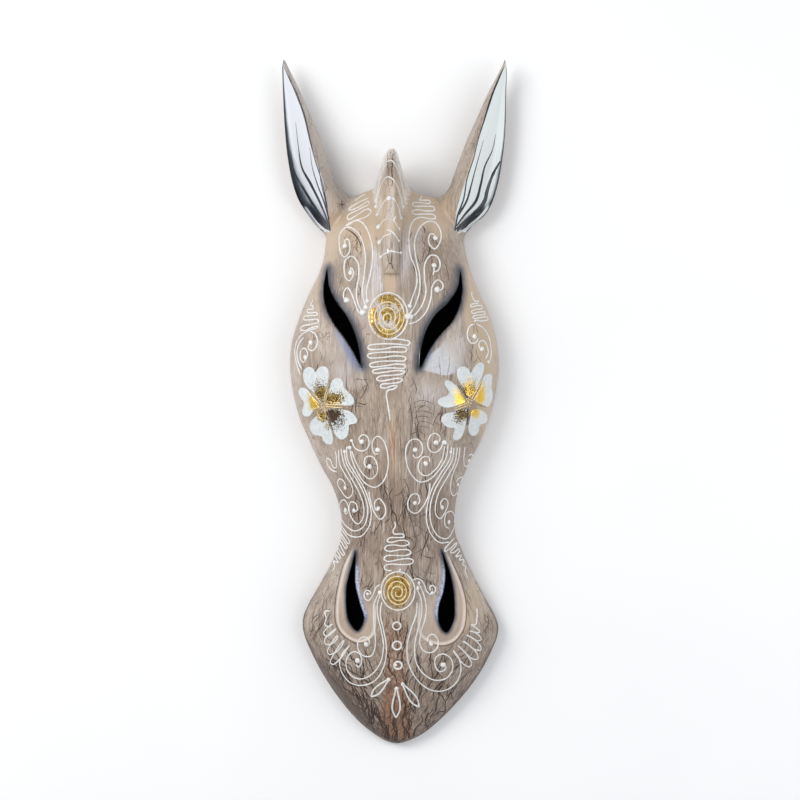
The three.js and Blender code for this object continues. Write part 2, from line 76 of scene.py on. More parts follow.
CHIN = [2.2, -250.2]
TOP_LEFT = [[-31.5, 150.7], [-27.3, 151], [-22.4, 152.8], [-17.6, 154.7]]
TOP_RIGHT = [[14.4, 153.9], [19.8, 151.2], [25.9, 149.7], [31.9, 149.7]]
CREST_FOOT_LEFT, CREST_FOOT_RIGHT = [-13.8, 156.7], [10.8, 157.2]
CREST_OUTLINE = [[8.9, 161.9], [5.9, 168.6], [4, 174.8], [2.6, 179.6], [0.9, 182.3], [-1.9, 182.9], [-4.6, 182.1], [-6.6, 179.4], [-8.3, 174.8], [-10.4, 166.8], [-12.7, 160.1]]
EAR_LEFT = {
    "side": -1, "tip": [-80.5, 250],
    "lateral": [[120, 49.7], [123.9, 51.3], [130.4, 57.9], [137.9, 63.4], [148.2, 69.9], [162.4, 74.6], [180.6, 77.9], [199.6, 79.7], [217.9, 80.7], [236.9, 81.4], [245.6, 81.4]],
    "ridge": [[118, 46.2], [124.3, 46.5], [129.6, 46.8], [146.9, 49], [160.6, 51.7], [174.7, 56.4], [191.3, 61.1], [207.3, 64.8], [223.4, 70.4], [235.2, 75.6], [246.5, 80.3]],
    "medial": [[118, 20], [130, 23], [142, 28], [152.4, 35.8], [155.3, 39.5], [160.2, 42.5], [168.1, 45.5], [178.5, 49], [193.9, 54.1], [205.6, 59.2], [213.6, 62.5], [222.4, 66.5], [232.2, 70.9], [242.1, 76], [248.9, 79.3]],
}
EAR_RIGHT = {
    "side": 1, "tip": [80.9, 250],
    "lateral": [[117.8, 51.3], [122.2, 51.9], [127.3, 55.7], [132.4, 61.6], [138.2, 67.4], [145.8, 71.6], [159.2, 75.8], [178.4, 79.2], [197.8, 81.2], [224.4, 81.8], [242.7, 82.2]],
    "ridge": [[118, 44], [123.5, 44.2], [135.6, 44.9], [150.3, 48.5], [162.7, 52.7], [176.8, 57.2], [192.1, 61.1], [204.7, 65.3], [222.5, 71.2], [234.5, 76], [246.5, 80.9]],
    "medial": [[118, 20], [130, 23], [142, 29], [152.4, 36.8], [157.3, 40.6], [165.4, 43.5], [178.5, 48.2], [191.7, 53.3], [204.8, 59.2], [218, 65], [227.5, 69.4], [235.5, 73.8], [247.2, 79.7]],
}
EAR_RIM_Z = [[118, 12], [124, 13], [135, 15], [160, 17], [200, 17], [235, 18], [250, 19]]
EAR_RIDGE_Z = [[118, 23], [126, 25], [140, 32], [160, 36], [180, 35], [205, 31], [230, 25], [250, 20]]
EAR_SCOOP = [[118, 0], [124, 1.5], [135, 5.5], [160, 6], [200, 3.6], [235, 1.2], [250, 0]]
EAR_MEDIAL_Z = [[118, 14], [160, 15], [200, 15], [250, 18.5]]
EAR_EDGE = 3.6
RIM_Z = [[-250, 7], [-225, 9], [-165, 10], [-100, 12], [100, 13], [157, 13]]
DOME_Z = [[-250.2, 8.5], [-243, 14], [-228, 23], [-205, 34.5], [-180, 44], [-155, 51], [-130, 54], [-105, 52.5], [-75, 49], [-40, 49.5], [0, 53], [40, 58], [75, 60.5], [105, 57.5], [125, 49], [140, 37], [150, 26], [157, 16]]
DOME_POWER = [[-250, 2.0], [-160, 2.0], [-90, 2.2], [120, 2.3]]
DOME_FULL = [[-250, 0.82], [-160, 0.8], [-110, 0.66], [-70, 0.6], [160, 0.6]]
AXIS_X = [[-250, 2.3], [-137, 2.2], [-85, 1.5], [-20, -1], [60, -2], [181, -1.7]]
BRIDGE_HALF = [[-200, 9], [-140, 9], [-60, 8], [-20, 10], [30, 14], [70, 13], [130, 11], [157, 9]]
BRIDGE_RISE = [[-235, 0], [-200, 1.2], [-150, 3.4], [-110, 3.6], [-60, 3.2], [0, 3.2], [60, 3.6], [125, 3.6], [150, 1.5], [157, 0]]
BRIDGE_FALL = [[-200, 9], [-140, 9], [-60, 7], [60, 6], [157, 6]]
CREST_START_Y = 92
CREST_TOP_Z = [[92, 67], [110, 68.6], [128, 68.8], [145, 66], [158, 61], [168, 55.5], [176, 49.5], [182.9, 43.5]]
CREST_SPINE = [[92, 3.4], [115, 2.6], [150, 2.2], [172, 2.0], [181, 1.6]]
CREST_FOOT = [[92, 5.6], [105, 7.2], [116, 7.6], [132, 8.8], [145, 10.6], [154, 12.2], [158, 11.6], [164, 9.4], [170, 7.8], [176, 5.2], [181, 2.8]]
CREST_EDGE_Z = [[150, 20], [157, 23], [165, 31], [172, 37], [181, 41]]
CREST_BACK_SLOPE = 1.3
EYE_LEFT = [[-48.2, 97.1], [-50.9, 83.2], [-49.7, 69.8], [-44.2, 57], [-36.5, 46.6], [-29.6, 35.6], [-23.2, 24.2], [-24.2, 35], [-27.8, 49.4], [-33.6, 61.9], [-41, 72.3], [-46.2, 83.5]]
EYE_RIGHT = [[47.9, 95.5], [49.6, 82], [47.8, 69.8], [42.8, 58], [35.2, 49.4], [26.8, 39.3], [18.6, 24.4], [18.9, 35], [22, 48.9], [29, 62.2], [38.2, 71.3], [45.3, 82.5]]
NOSTRIL_LEFT = [[-27.6, -107.5], [-30.6, -118], [-34, -131.5], [-34.5, -145], [-32.6, -157.2], [-26.5, -164.8], [-21.2, -155.7], [-23.8, -145.4], [-27.3, -131.4], [-27.5, -118]]
NOSTRIL_RIGHT = [[34.2, -106.5], [39, -118.2], [42.2, -130.5], [43.7, -143.5], [43.2, -157.5], [37.6, -166.3], [32.3, -158.8], [31.8, -147.5], [35.3, -136], [36.8, -121.5]]
DISH_LEFT = [[-28, -104], [-35.4, -115], [-40.2, -131], [-42.7, -147.5], [-41.6, -161], [-36.3, -168.8], [-25.2, -173.8], [-14.5, -168], [-12.6, -145], [-18, -120]]
DISH_RIGHT = [[35, -104], [43.2, -118], [49.2, -132], [52.5, -147.5], [50.5, -164.1], [42.8, -173.6], [31.8, -175.6], [18.5, -168], [17.2, -145], [23, -120]]

FACE_STEP, BACK_STEP = 1.35, 2.9  # mesh spacing, mm

# ------------------------------------------------------------------ small helpers
def smooth(a, b, v):
    t = np.clip((v - a) / (b - a), 0, 1)
    return t * t * (3 - 2 * t)


def soft_max(a, b, k):
    return np.maximum(a, b) + (k / 4) * np.maximum(0, 1 - np.abs(a - b) / k) ** 2


def soft_min(a, b, k):
    return -soft_max(-a, -b, k)


_tables = {}


def at(rows, y, col=1):
    """value at y of a smooth monotone curve through rows [y, value]"""
    key = (id(rows), col)
    if key not in _tables:
        Y = np.array([r[0] for r in rows], float)
        V = np.array([r[col] for r in rows], float)
        s = np.diff(V) / np.diff(Y)
        T = np.zeros(len(Y))
        T[0], T[-1] = s[0], s[-1]
        for k in range(1, len(Y) - 1):
            p, q = s[k - 1], s[k]
            T[k] = 0 if p * q <= 0 else 3 * p * q / (p + q + np.sign(p) * max(abs(p), abs(q)))
        _tables[key] = (Y, V, T)
    Y, V, T = _tables[key]
    y = np.clip(np.asarray(y, float), Y[0], Y[-1])
    i = np.clip(np.searchsorted(Y, y, side="left") - 1, 0, len(Y) - 2)
    h = Y[i + 1] - Y[i]
    t = (y - Y[i]) / h
    return ((2 * t**3 - 3 * t * t + 1) * V[i] + (t**3 - 2 * t * t + t) * h * T[i]
            + (3 * t * t - 2 * t**3) * V[i + 1] + (t**3 - t * t) * h * T[i + 1])


def curve(points, step, closed=False, last=False):
    """a smooth run through points at an even step; an open run goes without its last point unless last"""
    P = np.array(points, float)
    n = len(P)
    out = []
    for i in range(n if closed else n - 1):
        p1, p2 = P[i], P[(i + 1) % n]
        p0 = P[i - 1] if closed or i else 2 * P[0] - P[1]
        p3 = P[(i + 2) % n] if closed or i + 2 < n else 2 * P[-1] - P[-2]
        d = [max(1e-3, np.linalg.norm(b - a)) ** 0.5 for a, b in ((p0, p1), (p1, p2), (p2, p3))]
        m1 = ((p1 - p0) / d[0] - (p2 - p0) / (d[0] + d[1]) + (p2 - p1) / d[1]) * d[1]
        m2 = ((p2 - p1) / d[1] - (p3 - p1) / (d[1] + d[2]) + (p3 - p2) / d[2]) * d[1]
        t = np.linspace(0, 1, 25)[:-1, None]
        out.append((2 * t**3 - 3 * t * t + 1) * p1 + (t**3 - 2 * t * t + t) * m1 + (3 * t * t - 2 * t**3) * p2 + (t**3 - t * t) * m2)
    Q = np.vstack(out + [P[:1] if closed else P[-1:]])
    s = np.r_[0, np.cumsum(np.linalg.norm(np.diff(Q, axis=0), axis=1))]
    k = max(3 if closed else 2, int(round(s[-1] / step)))
    u = np.linspace(0, s[-1], k + 1)
    R = np.stack([np.interp(u, s, Q[:, c]) for c in range(Q.shape[1])], axis=1)
    return R if last else R[:-1]


def inside(poly, x, y):
    """signed distance to a closed polygon, positive inside"""
    B = np.asarray(poly, float)
    A = np.roll(B, 1, axis=0)
    D = B - A
    L = (D**2).sum(1)
    x, y = np.broadcast_arrays(np.asarray(x, float), np.asarray(y, float))
    shape, x, y = x.shape, x.ravel(), y.ravel()
    out = np.empty(len(x))
    for c in range(0, len(x), 4000):
        px, py = x[c:c + 4000, None], y[c:c + 4000, None]
        t = np.clip(((px - A[:, 0]) * D[:, 0] + (py - A[:, 1]) * D[:, 1]) / L, 0, 1)
        d = np.sqrt(((px - A[:, 0] - t * D[:, 0]) ** 2 + (py - A[:, 1] - t * D[:, 1]) ** 2).min(1))
        cross = (A[:, 1] > py) != (B[:, 1] > py)
        with np.errstate(divide="ignore", invalid="ignore"):
            hit = cross & (px < D[:, 0] * (py - A[:, 1]) / D[:, 1] + A[:, 0])
        out[c:c + 4000] = np.where(hit.sum(1) % 2 == 1, d, -d)
    return out.reshape(shape)


# ------------------------------------------------------------------ outlines
def outline_at(step):
    right = [[r[2], r[0]] for r in FACE]
    left = [[r[1], r[0]] for r in FACE][::-1]
    edge = lambda ear, rows: [[ear["side"] * r[1], r[0]] for r in rows]
    up = lambda rows: [r for r in rows if r[0] >= 152]
    return np.vstack([
        curve([CHIN, *right, *edge(EAR_RIGHT, EAR_RIGHT["lateral"]), EAR_RIGHT["tip"]], step),
        curve([EAR_RIGHT["tip"], *edge(EAR_RIGHT, up(EAR_RIGHT["medial"]))[::-1], *TOP_RIGHT[::-1], CREST_FOOT_RIGHT], step),
        curve([CREST_FOOT_RIGHT, *CREST_OUTLINE, CREST_FOOT_LEFT], step * 0.8),
        curve([CREST_FOOT_LEFT, *TOP_LEFT[::-1], *edge(EAR_LEFT, up(EAR_LEFT["medial"])), EAR_LEFT["tip"]], step),
        curve([EAR_LEFT["tip"], *edge(EAR_LEFT, EAR_LEFT["lateral"])[::-1], *left, CHIN], step),
    ])


outline = outline_at(1.25)
head_outline = curve([
    CHIN, *[[r[2], r[0]] for r in FACE], *[[r[2], r[0]] for r in HEAD_TOP], *TOP_RIGHT[:3][::-1], CREST_FOOT_RIGHT,
    CREST_FOOT_LEFT, *TOP_LEFT[1:][::-1], *[[r[1], r[0]] for r in HEAD_TOP][::-1], *[[r[1], r[0]] for r in FACE][::-1],
], 3, closed=True)
HEAD_ROWS = [*FACE, *HEAD_TOP, [157, -20, 20]]
eyes = [curve(p, 0.9, closed=True) for p in (EYE_LEFT, EYE_RIGHT)]
nostrils = [curve(p, 0.9, closed=True) for p in (NOSTRIL_LEFT, NOSTRIL_RIGHT)]
dishes = [curve(p, 1.4, closed=True) for p in (DISH_LEFT, DISH_RIGHT)]


# ------------------------------------------------------------------ the carved front, as in the solid
def dome(x, y):
    axis, left, right = at(AXIS_X, y), at(HEAD_ROWS, y, 1), at(HEAD_ROWS, y, 2)
    u = np.where(x < axis, (axis - x) / (axis - left), (x - axis) / (right - axis))
    rim = at(RIM_Z, y)
    top = np.maximum(rim, at(DOME_Z, y))
    over = rim + (top - rim) * (1 - np.clip(u, 0, 1) ** at(DOME_POWER, y)) ** at(DOME_FULL, y)
    return np.where(u >= 1, rim - 3 * np.maximum(x - right, left - x), over)


def bridge(x, y):
    a, half = np.abs(x - at(AXIS_X, y)), at(BRIDGE_HALF, y)
    return at(BRIDGE_RISE, y) * (1 - smooth(half, half + at(BRIDGE_FALL, y), a))


def cheek(x, y, eye_d):
    drop = np.zeros_like(x)
    for side, d in zip((-1, 1), eye_d):
        top, foot = (side * 48, 96), (side * 20.5, 24)
        dx, dy = foot[0] - top[0], foot[1] - top[1]
        ln = math.hypot(dx, dy)
        s = ((x - top[0]) * dx + (y - top[1]) * dy) / (ln * ln)
        off = side * ((x - top[0]) * -dy + (y - top[1]) * dx) / ln
        f = CHEEK_SCOOP * np.maximum(0, 1 + d / CHEEK_REACH) * smooth(0.2, 0.6, s) * (1 - smooth(1.02, 1.22, s)) * smooth(0, 3, off)
        drop += np.where((d < 0) & (off > 0), f, 0)
    return drop


def crest_over(x, y, base):
    a, spine, foot, top = np.abs(x - at(AXIS_X, y)), at(CREST_SPINE, y), at(CREST_FOOT, y), at(CREST_TOP_Z, y)
    low = np.where(y > HEAD_TOP_Y, at(CREST_EDGE_Z, y), np.maximum(at(DOME_Z, y) + at(BRIDGE_RISE, y), np.where(y > 150, at(CREST_EDGE_Z, y), 0)))
    fin = np.where(a <= spine, top, top - (top - low) * np.maximum(0, (a - spine) / (foot - spine)) ** 1.25)
    over = base + np.maximum(0, soft_max(fin, base, 0.8) - base) * smooth(CREST_START_Y - 0.8, CREST_START_Y, y)
    return np.where(y < CREST_START_Y - 1, base, over)


def ear_over(e, x, y):
    X = e["side"] * x
    lat, rid, med = at(e["lateral"], y), at(e["ridge"], y), at(e["medial"], y)
    rim_z, ridge_z, med_z = at(EAR_RIM_Z, y), at(EAR_RIDGE_Z, y), at(EAR_MEDIAL_Z, y)
    t = np.clip((lat - X) / np.maximum(0.4, lat - rid), 0, 1)
    cup = rim_z + (ridge_z - rim_z) * t**1.6 - at(EAR_SCOOP, y) * np.sin(np.pi * t**0.62)
    m = np.maximum(0, (rid - X) / np.maximum(0.4, rid - med))
    back = np.where(m <= 1, med_z + (ridge_z - med_z) * (1 - m**1.7), med_z - 2.5 * (med - X))
    return np.where((y < EAR_BASE_Y) | (X < med - 14) | (y > 252), -100, np.where(X >= rid, cup, back))


def front(x, y, parts=False):
    x, y = np.broadcast_arrays(np.asarray(x, float), np.asarray(y, float))
    eye_d = [inside(p, x, y) for p in eyes]
    nos_d = [inside(p, x, y) for p in nostrils]
    dish_d = [inside(p, x, y) for p in dishes]
    edge_d = inside(outline, x, y)
    away = np.abs(x - at(AXIS_X, y))
    z = dome(x, y) + bridge(x, y) - cheek(x, y, eye_d)
    for d in eye_d:
        z = z - EYE_DEPTH * smooth(0, EYE_WALL, d)
    for d in nos_d:
        z = z - NOSTRIL_DEPTH * smooth(0, NOSTRIL_WALL, d)
    for d in dish_d:
        z = z - DISH_DEPTH * smooth(0, DISH_STEP, d) * smooth(13, 24, away) * smooth(-104, -126, y)
    z = np.where(y <= HEAD_TOP_Y + 2, z, -100)
    z = crest_over(x, y, z)
    for e in (EAR_LEFT, EAR_RIGHT):
        z = soft_max(z, ear_over(e, x, y), 3)
    rnd = np.where(y > 130, THIN_ROUND, EDGE_ROUND + (THIN_ROUND - EDGE_ROUND) * smooth(110, 130, y))
    d = np.clip(edge_d, 0, None)
    z = np.where(d < rnd, z - (rnd - np.sqrt(np.maximum(0, rnd * rnd - (rnd - d) ** 2))), z)
    if not parts:
        return z
    return z, np.maximum(*eye_d), np.maximum(*nos_d), np.maximum(*dish_d), edge_d


def back(x, y):
    d = inside(head_outline, x, y)
    rise = HOLLOW_SLOPE * (d - RIM_WIDTH)
    hollow = np.where(rise <= 0, 0, np.maximum(0, soft_min(rise, np.maximum(0, dome(x, y) - WALL), 6)))
    out = np.zeros_like(hollow)
    for e in (EAR_LEFT, EAR_RIGHT):
        X = e["side"] * x
        lat, med = at(e["lateral"], y), at(e["medial"], y)
        t = np.clip((lat - X) / np.maximum(0.4, lat - med), 0, 1)
        edge = at(EAR_RIM_Z, y) * (1 - t) + at(EAR_MEDIAL_Z, y) * t - EAR_EDGE
        v = np.maximum(0.5, soft_min(edge - 0.32 * (lat - med) * 4 * t * (1 - t), 0.9 * -d, 2))
        out = np.where(X > 0, v, out)
    out = np.where(np.abs(x) < 25, CREST_BACK_SLOPE * -d, out)
    return np.where(d >= 0, hollow, out)


def wobble(x, y, scale, seed, octaves=3):
    """smooth seeded waves between -1 and 1, the same every run"""
    r = np.random.default_rng(seed)
    v, amp, tot = np.zeros_like(x), 1.0, 0.0
    for o in range(octaves):
        for _ in range(4):
            a, p = r.uniform(0, 2 * np.pi), r.uniform(0, 2 * np.pi)
            v = v + amp / 4 * np.sin((x * np.cos(a) + y * np.sin(a)) * 2 * np.pi / scale * 2**o * r.uniform(0.7, 1.3) + p)
        tot += amp / 2
        amp *= 0.55
    return v / tot


# ------------------------------------------------------------------ body mesh
def offset_ring(poly, off, gap=0.0):
    A, B = np.roll(poly, 1, axis=0), np.roll(poly, -1, axis=0)
    n = np.stack([-(B - A)[:, 1], (B - A)[:, 0]], axis=1)
    n /= np.linalg.norm(n, axis=1)[:, None]
    area = 0.5 * (poly[:, 0] * np.roll(poly[:, 1], -1) - np.roll(poly[:, 0], -1) * poly[:, 1]).sum()
    q = poly + n * off * np.sign(area)
    s = inside(poly, q[:, 0], q[:, 1])
    return q[np.abs(s) > abs(off) * 0.9]


def fill_points(rings, fixed, step, edge):
    """fixed outlines, then rings of points, then an even grid, each clear of the ones before"""
    pts = [tuple(p) for p in fixed]
    cell = 0.25
    taken = {}

    def add(p, gap):
        i, j, r = int(p[0] // 2), int(p[1] // 2), int(math.ceil(gap / 2))
        for a in range(i - r, i + r + 1):
            for b in range(j - r, j + r + 1):
                for q in taken.get((a, b), ()):
                    if (q[0] - p[0]) ** 2 + (q[1] - p[1]) ** 2 < gap * gap:
                        return
        taken.setdefault((i, j), []).append(p)
        pts.append(p)

    for p in pts:
        taken.setdefault((int(p[0] // 2), int(p[1] // 2)), []).append(p)
    for pack, gap, depth in rings:
        pack = np.asarray(pack)
        d = inside(outline, pack[:, 0], pack[:, 1])
        for p in pack[d > depth]:
            add(tuple(p), gap)
    rows = []
    for k, y in enumerate(np.arange(-250, 250.5, step * 0.866)):
        xs = np.arange(-84 + (k % 2) * step / 2, 84, step)
        rows.append(np.stack([xs, np.full_like(xs, y)], axis=1))
    grid = np.vstack(rows)
    grid = grid[inside(outline, grid[:, 0], grid[:, 1]) > edge]
    for p in grid:
        add(tuple(p), step * 0.7)
    return np.array(pts)


def triangles(pts, loops):
    edges, start = [], 0
    for n in loops:
        edges += [(start + i, start + (i + 1) % n) for i in range(n)]
        start += n
    co, _, faces, orig, _, _ = delaunay_2d_cdt([Vector(p) for p in pts], edges, [], 1, 1e-5, True)
    co = np.array([tuple(c) for c in co])
    back_to = [o[0] if o else -1 for o in orig]
    tri = np.array([f for f in faces if len(f) == 3])
    mid = co[tri].mean(axis=1)
    return co, tri[inside(outline, mid[:, 0], mid[:, 1]) > 0].tolist(), back_to


def line(f, y0, y1, step):
    ys = np.arange(y0, y1, step)
    return np.stack([f(ys), ys], axis=1)


n_out = len(outline)
fixed = [outline, *eyes, *nostrils]
rings = []
for off in (0.16, 0.42, 0.8, 1.3, 1.9, 2.7, 3.7):
    rings.append((offset_ring(outline, off), 0.2 if off < 1 else 0.45, off * 0.8))
for loops_, wall in ((eyes, EYE_WALL), (nostrils, NOSTRIL_WALL)):
    for p in loops_:
        for off in (-0.35, -0.9, 0.45, 0.95, 1.5, wall, wall + 0.8):
            rings.append((offset_ring(p, off), 0.33, 0.6))
for p in dishes:
    for off in (-0.4, 0.0, 0.35, 0.75, 1.15, DISH_STEP, DISH_STEP + 0.6):
        rings.append((offset_ring(p, off) if off else p, 0.38, 0.6))
for k in (-1, 1):
    for f in (1.0, 0.85, 0.7, 0.55, 0.4, 0.25, 0.12, 0.0):
        rings.append((line(lambda y: at(AXIS_X, y) + k * (at(CREST_SPINE, y) * (1 - f) + at(CREST_FOOT, y) * f), CREST_START_Y, 180, 1.1), 0.45, 0.3))
    for y in (-0.9, -0.5, -0.15, 0.1):
        xs = np.arange(-9, 6, 0.8)
        rings.append((np.stack([xs, np.full_like(xs, CREST_START_Y + y)], axis=1), 0.2, 0.3))
for e in (EAR_LEFT, EAR_RIGHT):
    for off in (0.0, 0.4, -0.4, 0.9, -0.9):
        rings.append((line(lambda y: e["side"] * (at(e["ridge"], y) + off), EAR_BASE_Y + 2, 247, 1.1), 0.3, 0.25))

pts = fill_points(rings, np.vstack(fixed), FACE_STEP, 0.6)
f_xy, f_tris, f_from = triangles(pts, [len(p) for p in fixed])
b_rings = [(offset_ring(outline, 0.8), 0.6, 0.6), (offset_ring(outline, 2.2), 1.2, 1.5)]
for off in (RIM_WIDTH - 0.2, RIM_WIDTH, RIM_WIDTH + 0.6, RIM_WIDTH + 2):
    b_rings.append((offset_ring(head_outline, off), 0.3, 1))
notch_x = float(at(AXIS_X, HANGER["to"]))
nx0, nx1, ny0, ny1 = notch_x - HANGER["width"] / 2, notch_x + HANGER["width"] / 2, HANGER["from"], HANGER["to"]
for g in (0.0, 0.12):
    for (ax, ay), (bx, by) in (((nx0 - g, ny0 - g), (nx1 + g, ny0 - g)), ((nx1 + g, ny0 - g), (nx1 + g, ny1 + g)), ((nx1 + g, ny1 + g), (nx0 - g, ny1 + g)), ((nx0 - g, ny1 + g), (nx0 - g, ny0 - g))):
        t = np.linspace(0, 1, 16)[:-1, None]
        b_rings.insert(0, (np.array([[ax, ay]]) * (1 - t) + np.array([[bx, by]]) * t, 0.08, 1))
b_xy, b_tris, b_from = triangles(fill_points(b_rings, outline, BACK_STEP, 1.2), [n_out])


def front_full(x, y, parts=False):
    """the front with the slight unevenness of hand carving"""
    got = front(x, y, True)
    z, eye_d, nos_d, dish_d, edge_d = got
    calm = smooth(0.3, 6, edge_d) * smooth(-0.5, -4, eye_d) * smooth(-0.5, -4, nos_d) * smooth(140, 120, y)
    z = z + calm * (0.28 * wobble(x, y * 0.45, 34, 3) + 0.07 * wobble(x, y * 0.16, 5.5, 5))
    return (z, eye_d, nos_d, dish_d, edge_d) if parts else z


def back_full(x, y):
    z = back(x, y)
    d = inside(head_outline, x, y)
    deep = smooth(RIM_WIDTH + 1, RIM_WIDTH + 7, d)
    scallop = np.abs(np.sin((x + 5 * wobble(x, y, 60, 21)) * np.pi / 13)) * np.abs(np.sin((y + 6 * wobble(x, y, 70, 22)) * np.pi / 31)) ** 0.6
    z = z + deep * (0.9 - 1.3 * scallop)
    cut = (x >= nx0 - 0.01) & (x <= nx1 + 0.01) & (y >= ny0 - 0.01) & (y <= ny1 + 0.01)
    return np.where(cut, np.maximum(z, HANGER["depth"]), z)


fz, eye_d, nos_d, dish_d, edge_d = front_full(f_xy[:, 0], f_xy[:, 1], True)
bz = back_full(b_xy[:, 0], b_xy[:, 1])
nf = len(f_xy)
verts = np.vstack([np.c_[f_xy, fz], np.c_[b_xy, bz]])
faces = [tuple(f) for f in f_tris] + [(nf + c, nf + b, nf + a) for a, b, c in b_tris]
f_at = {o: i for i, o in enumerate(f_from) if 0 <= o < n_out}
b_at = {o: i for i, o in enumerate(b_from) if 0 <= o < n_out}
# side wall in bands, so that its shading stays clean
BANDS = 4
side_start = len(verts)
ring_of = []
for k in range(BANDS + 1):
    if k == 0:
        ring_of.append([f_at[i] for i in range(n_out)])
    elif k == BANDS:
        ring_of.append([nf + b_at[i] for i in range(n_out)])
    else:
        t = k / BANDS
        top = verts[[f_at[i] for i in range(n_out)]]
        low = verts[[nf + b_at[i] for i in range(n_out)]]
        base = len(verts)
        verts = np.vstack([verts, top * (1 - t) + low * t])
        ring_of.append(list(range(base, base + n_out)))
for k in range(BANDS):
    a, b = ring_of[k], ring_of[k + 1]
    for i in range(n_out):
        j = (i + 1) % n_out
        faces.append((a[i], b[i], b[j], a[j]))


def mesh_piece(name, verts_mm, faces, material, smooth_shade=True, sharp=None):
    me = bpy.data.meshes.new(name)
    me.from_pydata((np.asarray(verts_mm) / 1000).tolist(), [], faces)
    me.validate()
    me.update()
    if smooth_shade:
        me.shade_smooth()
        if sharp:
            me.set_sharp_from_angle(angle=math.radians(sharp))
    me.materials.append(material)
    ob = bpy.data.objects.new(name, me)
    bpy.context.scene.collection.objects.link(ob)
    return ob


def attribute(ob, name, values):
    a = ob.data.attributes.new(name, "FLOAT", "POINT")
    a.data.foreach_set("value", np.asarray(values, np.float32))


# ------------------------------------------------------------------ node helpers
def lin(c):
    c = np.asarray(c, float) / 255
    return tuple(np.where(c <= 0.04045, c / 12.92, ((c + 0.055) / 1.055) ** 2.4).tolist()) + (1.0,)


class Nodes:
    """short ways to add shader nodes"""

    def __init__(self, name, along=False):
        self.along = along
        self.material = bpy.data.materials.new(name)
        self.material.use_nodes = True
        self.tree = self.material.node_tree
        self.tree.nodes.clear()
        self.out = self.tree.nodes.new("ShaderNodeOutputMaterial")
        self.shader = self.tree.nodes.new("ShaderNodeBsdfPrincipled")
        self.tree.links.new(self.shader.outputs[0], self.out.inputs[0])

    def node(self, kind, **values):
        n = self.tree.nodes.new(kind)
        for k, v in values.items():
            setattr(n, k, v)
        return n

    def link(self, a, b):
        if isinstance(a, (int, float, tuple, list)):
            b.default_value = a
        else:
            self.tree.links.new(a, b)

    def math(self, op, a, b=0.0, c=None, clamp=False):
        n = self.node("ShaderNodeMath", operation=op, use_clamp=clamp)
        self.link(a, n.inputs[0])
        self.link(b, n.inputs[1])
        if c is not None:
            self.link(c, n.inputs[2])
        return n.outputs[0]

    def step(self, v, a, b, low=0.0, high=1.0):
        n = self.node("ShaderNodeMapRange", interpolation_type="SMOOTHSTEP")
        self.link(v, n.inputs[0])
        for i, x in enumerate((a, b, low, high)):
            self.link(x, n.inputs[1 + i])
        return n.outputs[0]

    def mix(self, f, a, b, blend="MIX"):
        n = self.node("ShaderNodeMix", data_type="RGBA", blend_type=blend)
        self.link(f, n.inputs[0])
        self.link(a, n.inputs[6])
        self.link(b, n.inputs[7])
        return n.outputs[2]

    def attr(self, name):
        return self.node("ShaderNodeAttribute", attribute_name=name).outputs["Fac"]

    def coords(self, sx, sy, sz, warp=None, shift=(0, 0, 0)):
        """object coordinates in mm, divided by the sizes given"""
        c = self.node("ShaderNodeTexCoord").outputs["Object"]
        if self.along:
            a, b = self.node("ShaderNodeSeparateXYZ"), self.node("ShaderNodeCombineXYZ")
            self.tree.links.new(c, a.inputs[0])
            self.tree.links.new(self.math("MULTIPLY", self.attr("grain_x"), 0.001), b.inputs[0])
            self.tree.links.new(a.outputs[1], b.inputs[1])
            self.tree.links.new(a.outputs[2], b.inputs[2])
            c = b.outputs[0]
        if warp is not None:
            amp, size = warp
            n = self.node("ShaderNodeTexNoise", noise_dimensions="3D")
            self.tree.links.new(c, n.inputs["Vector"])
            n.inputs["Scale"].default_value = 1000 / size
            n.inputs["Detail"].default_value = 2
            m = self.node("ShaderNodeVectorMath", operation="MULTIPLY_ADD")
            self.tree.links.new(n.outputs["Color"], m.inputs[0])
            m.inputs[1].default_value = (amp / 1000,) * 3
            self.tree.links.new(c, m.inputs[2])
            c = m.outputs[0]
        m = self.node("ShaderNodeVectorMath", operation="MULTIPLY_ADD")
        self.tree.links.new(c, m.inputs[0])
        m.inputs[1].default_value = (1000 / sx, 1000 / sy, 1000 / sz)
        m.inputs[2].default_value = shift
        return m.outputs[0]

    def noise(self, vec, detail=2.0, rough=0.5, distort=0.0):
        n = self.node("ShaderNodeTexNoise", noise_dimensions="3D")
        self.tree.links.new(vec, n.inputs["Vector"])
        n.inputs["Scale"].default_value = 1.0
        n.inputs["Detail"].default_value = detail
        n.inputs["Roughness"].default_value = rough
        n.inputs["Distortion"].default_value = distort
        return n.outputs["Fac"]

    def voronoi(self, vec, feature="DISTANCE_TO_EDGE"):
        n = self.node("ShaderNodeTexVoronoi", voronoi_dimensions="3D", feature=feature)
        self.tree.links.new(vec, n.inputs["Vector"])
        n.inputs["Scale"].default_value = 1.0
        return n.outputs["Distance"]

    def bump(self, height, distance_mm, strength=1.0, after=None):
        n = self.node("ShaderNodeBump")
        n.inputs["Strength"].default_value = strength
        n.inputs["Distance"].default_value = distance_mm / 1000
        self.link(height, n.inputs["Height"])
        if after is not None:
            self.tree.links.new(after, n.inputs["Normal"])
        return n.outputs[0]


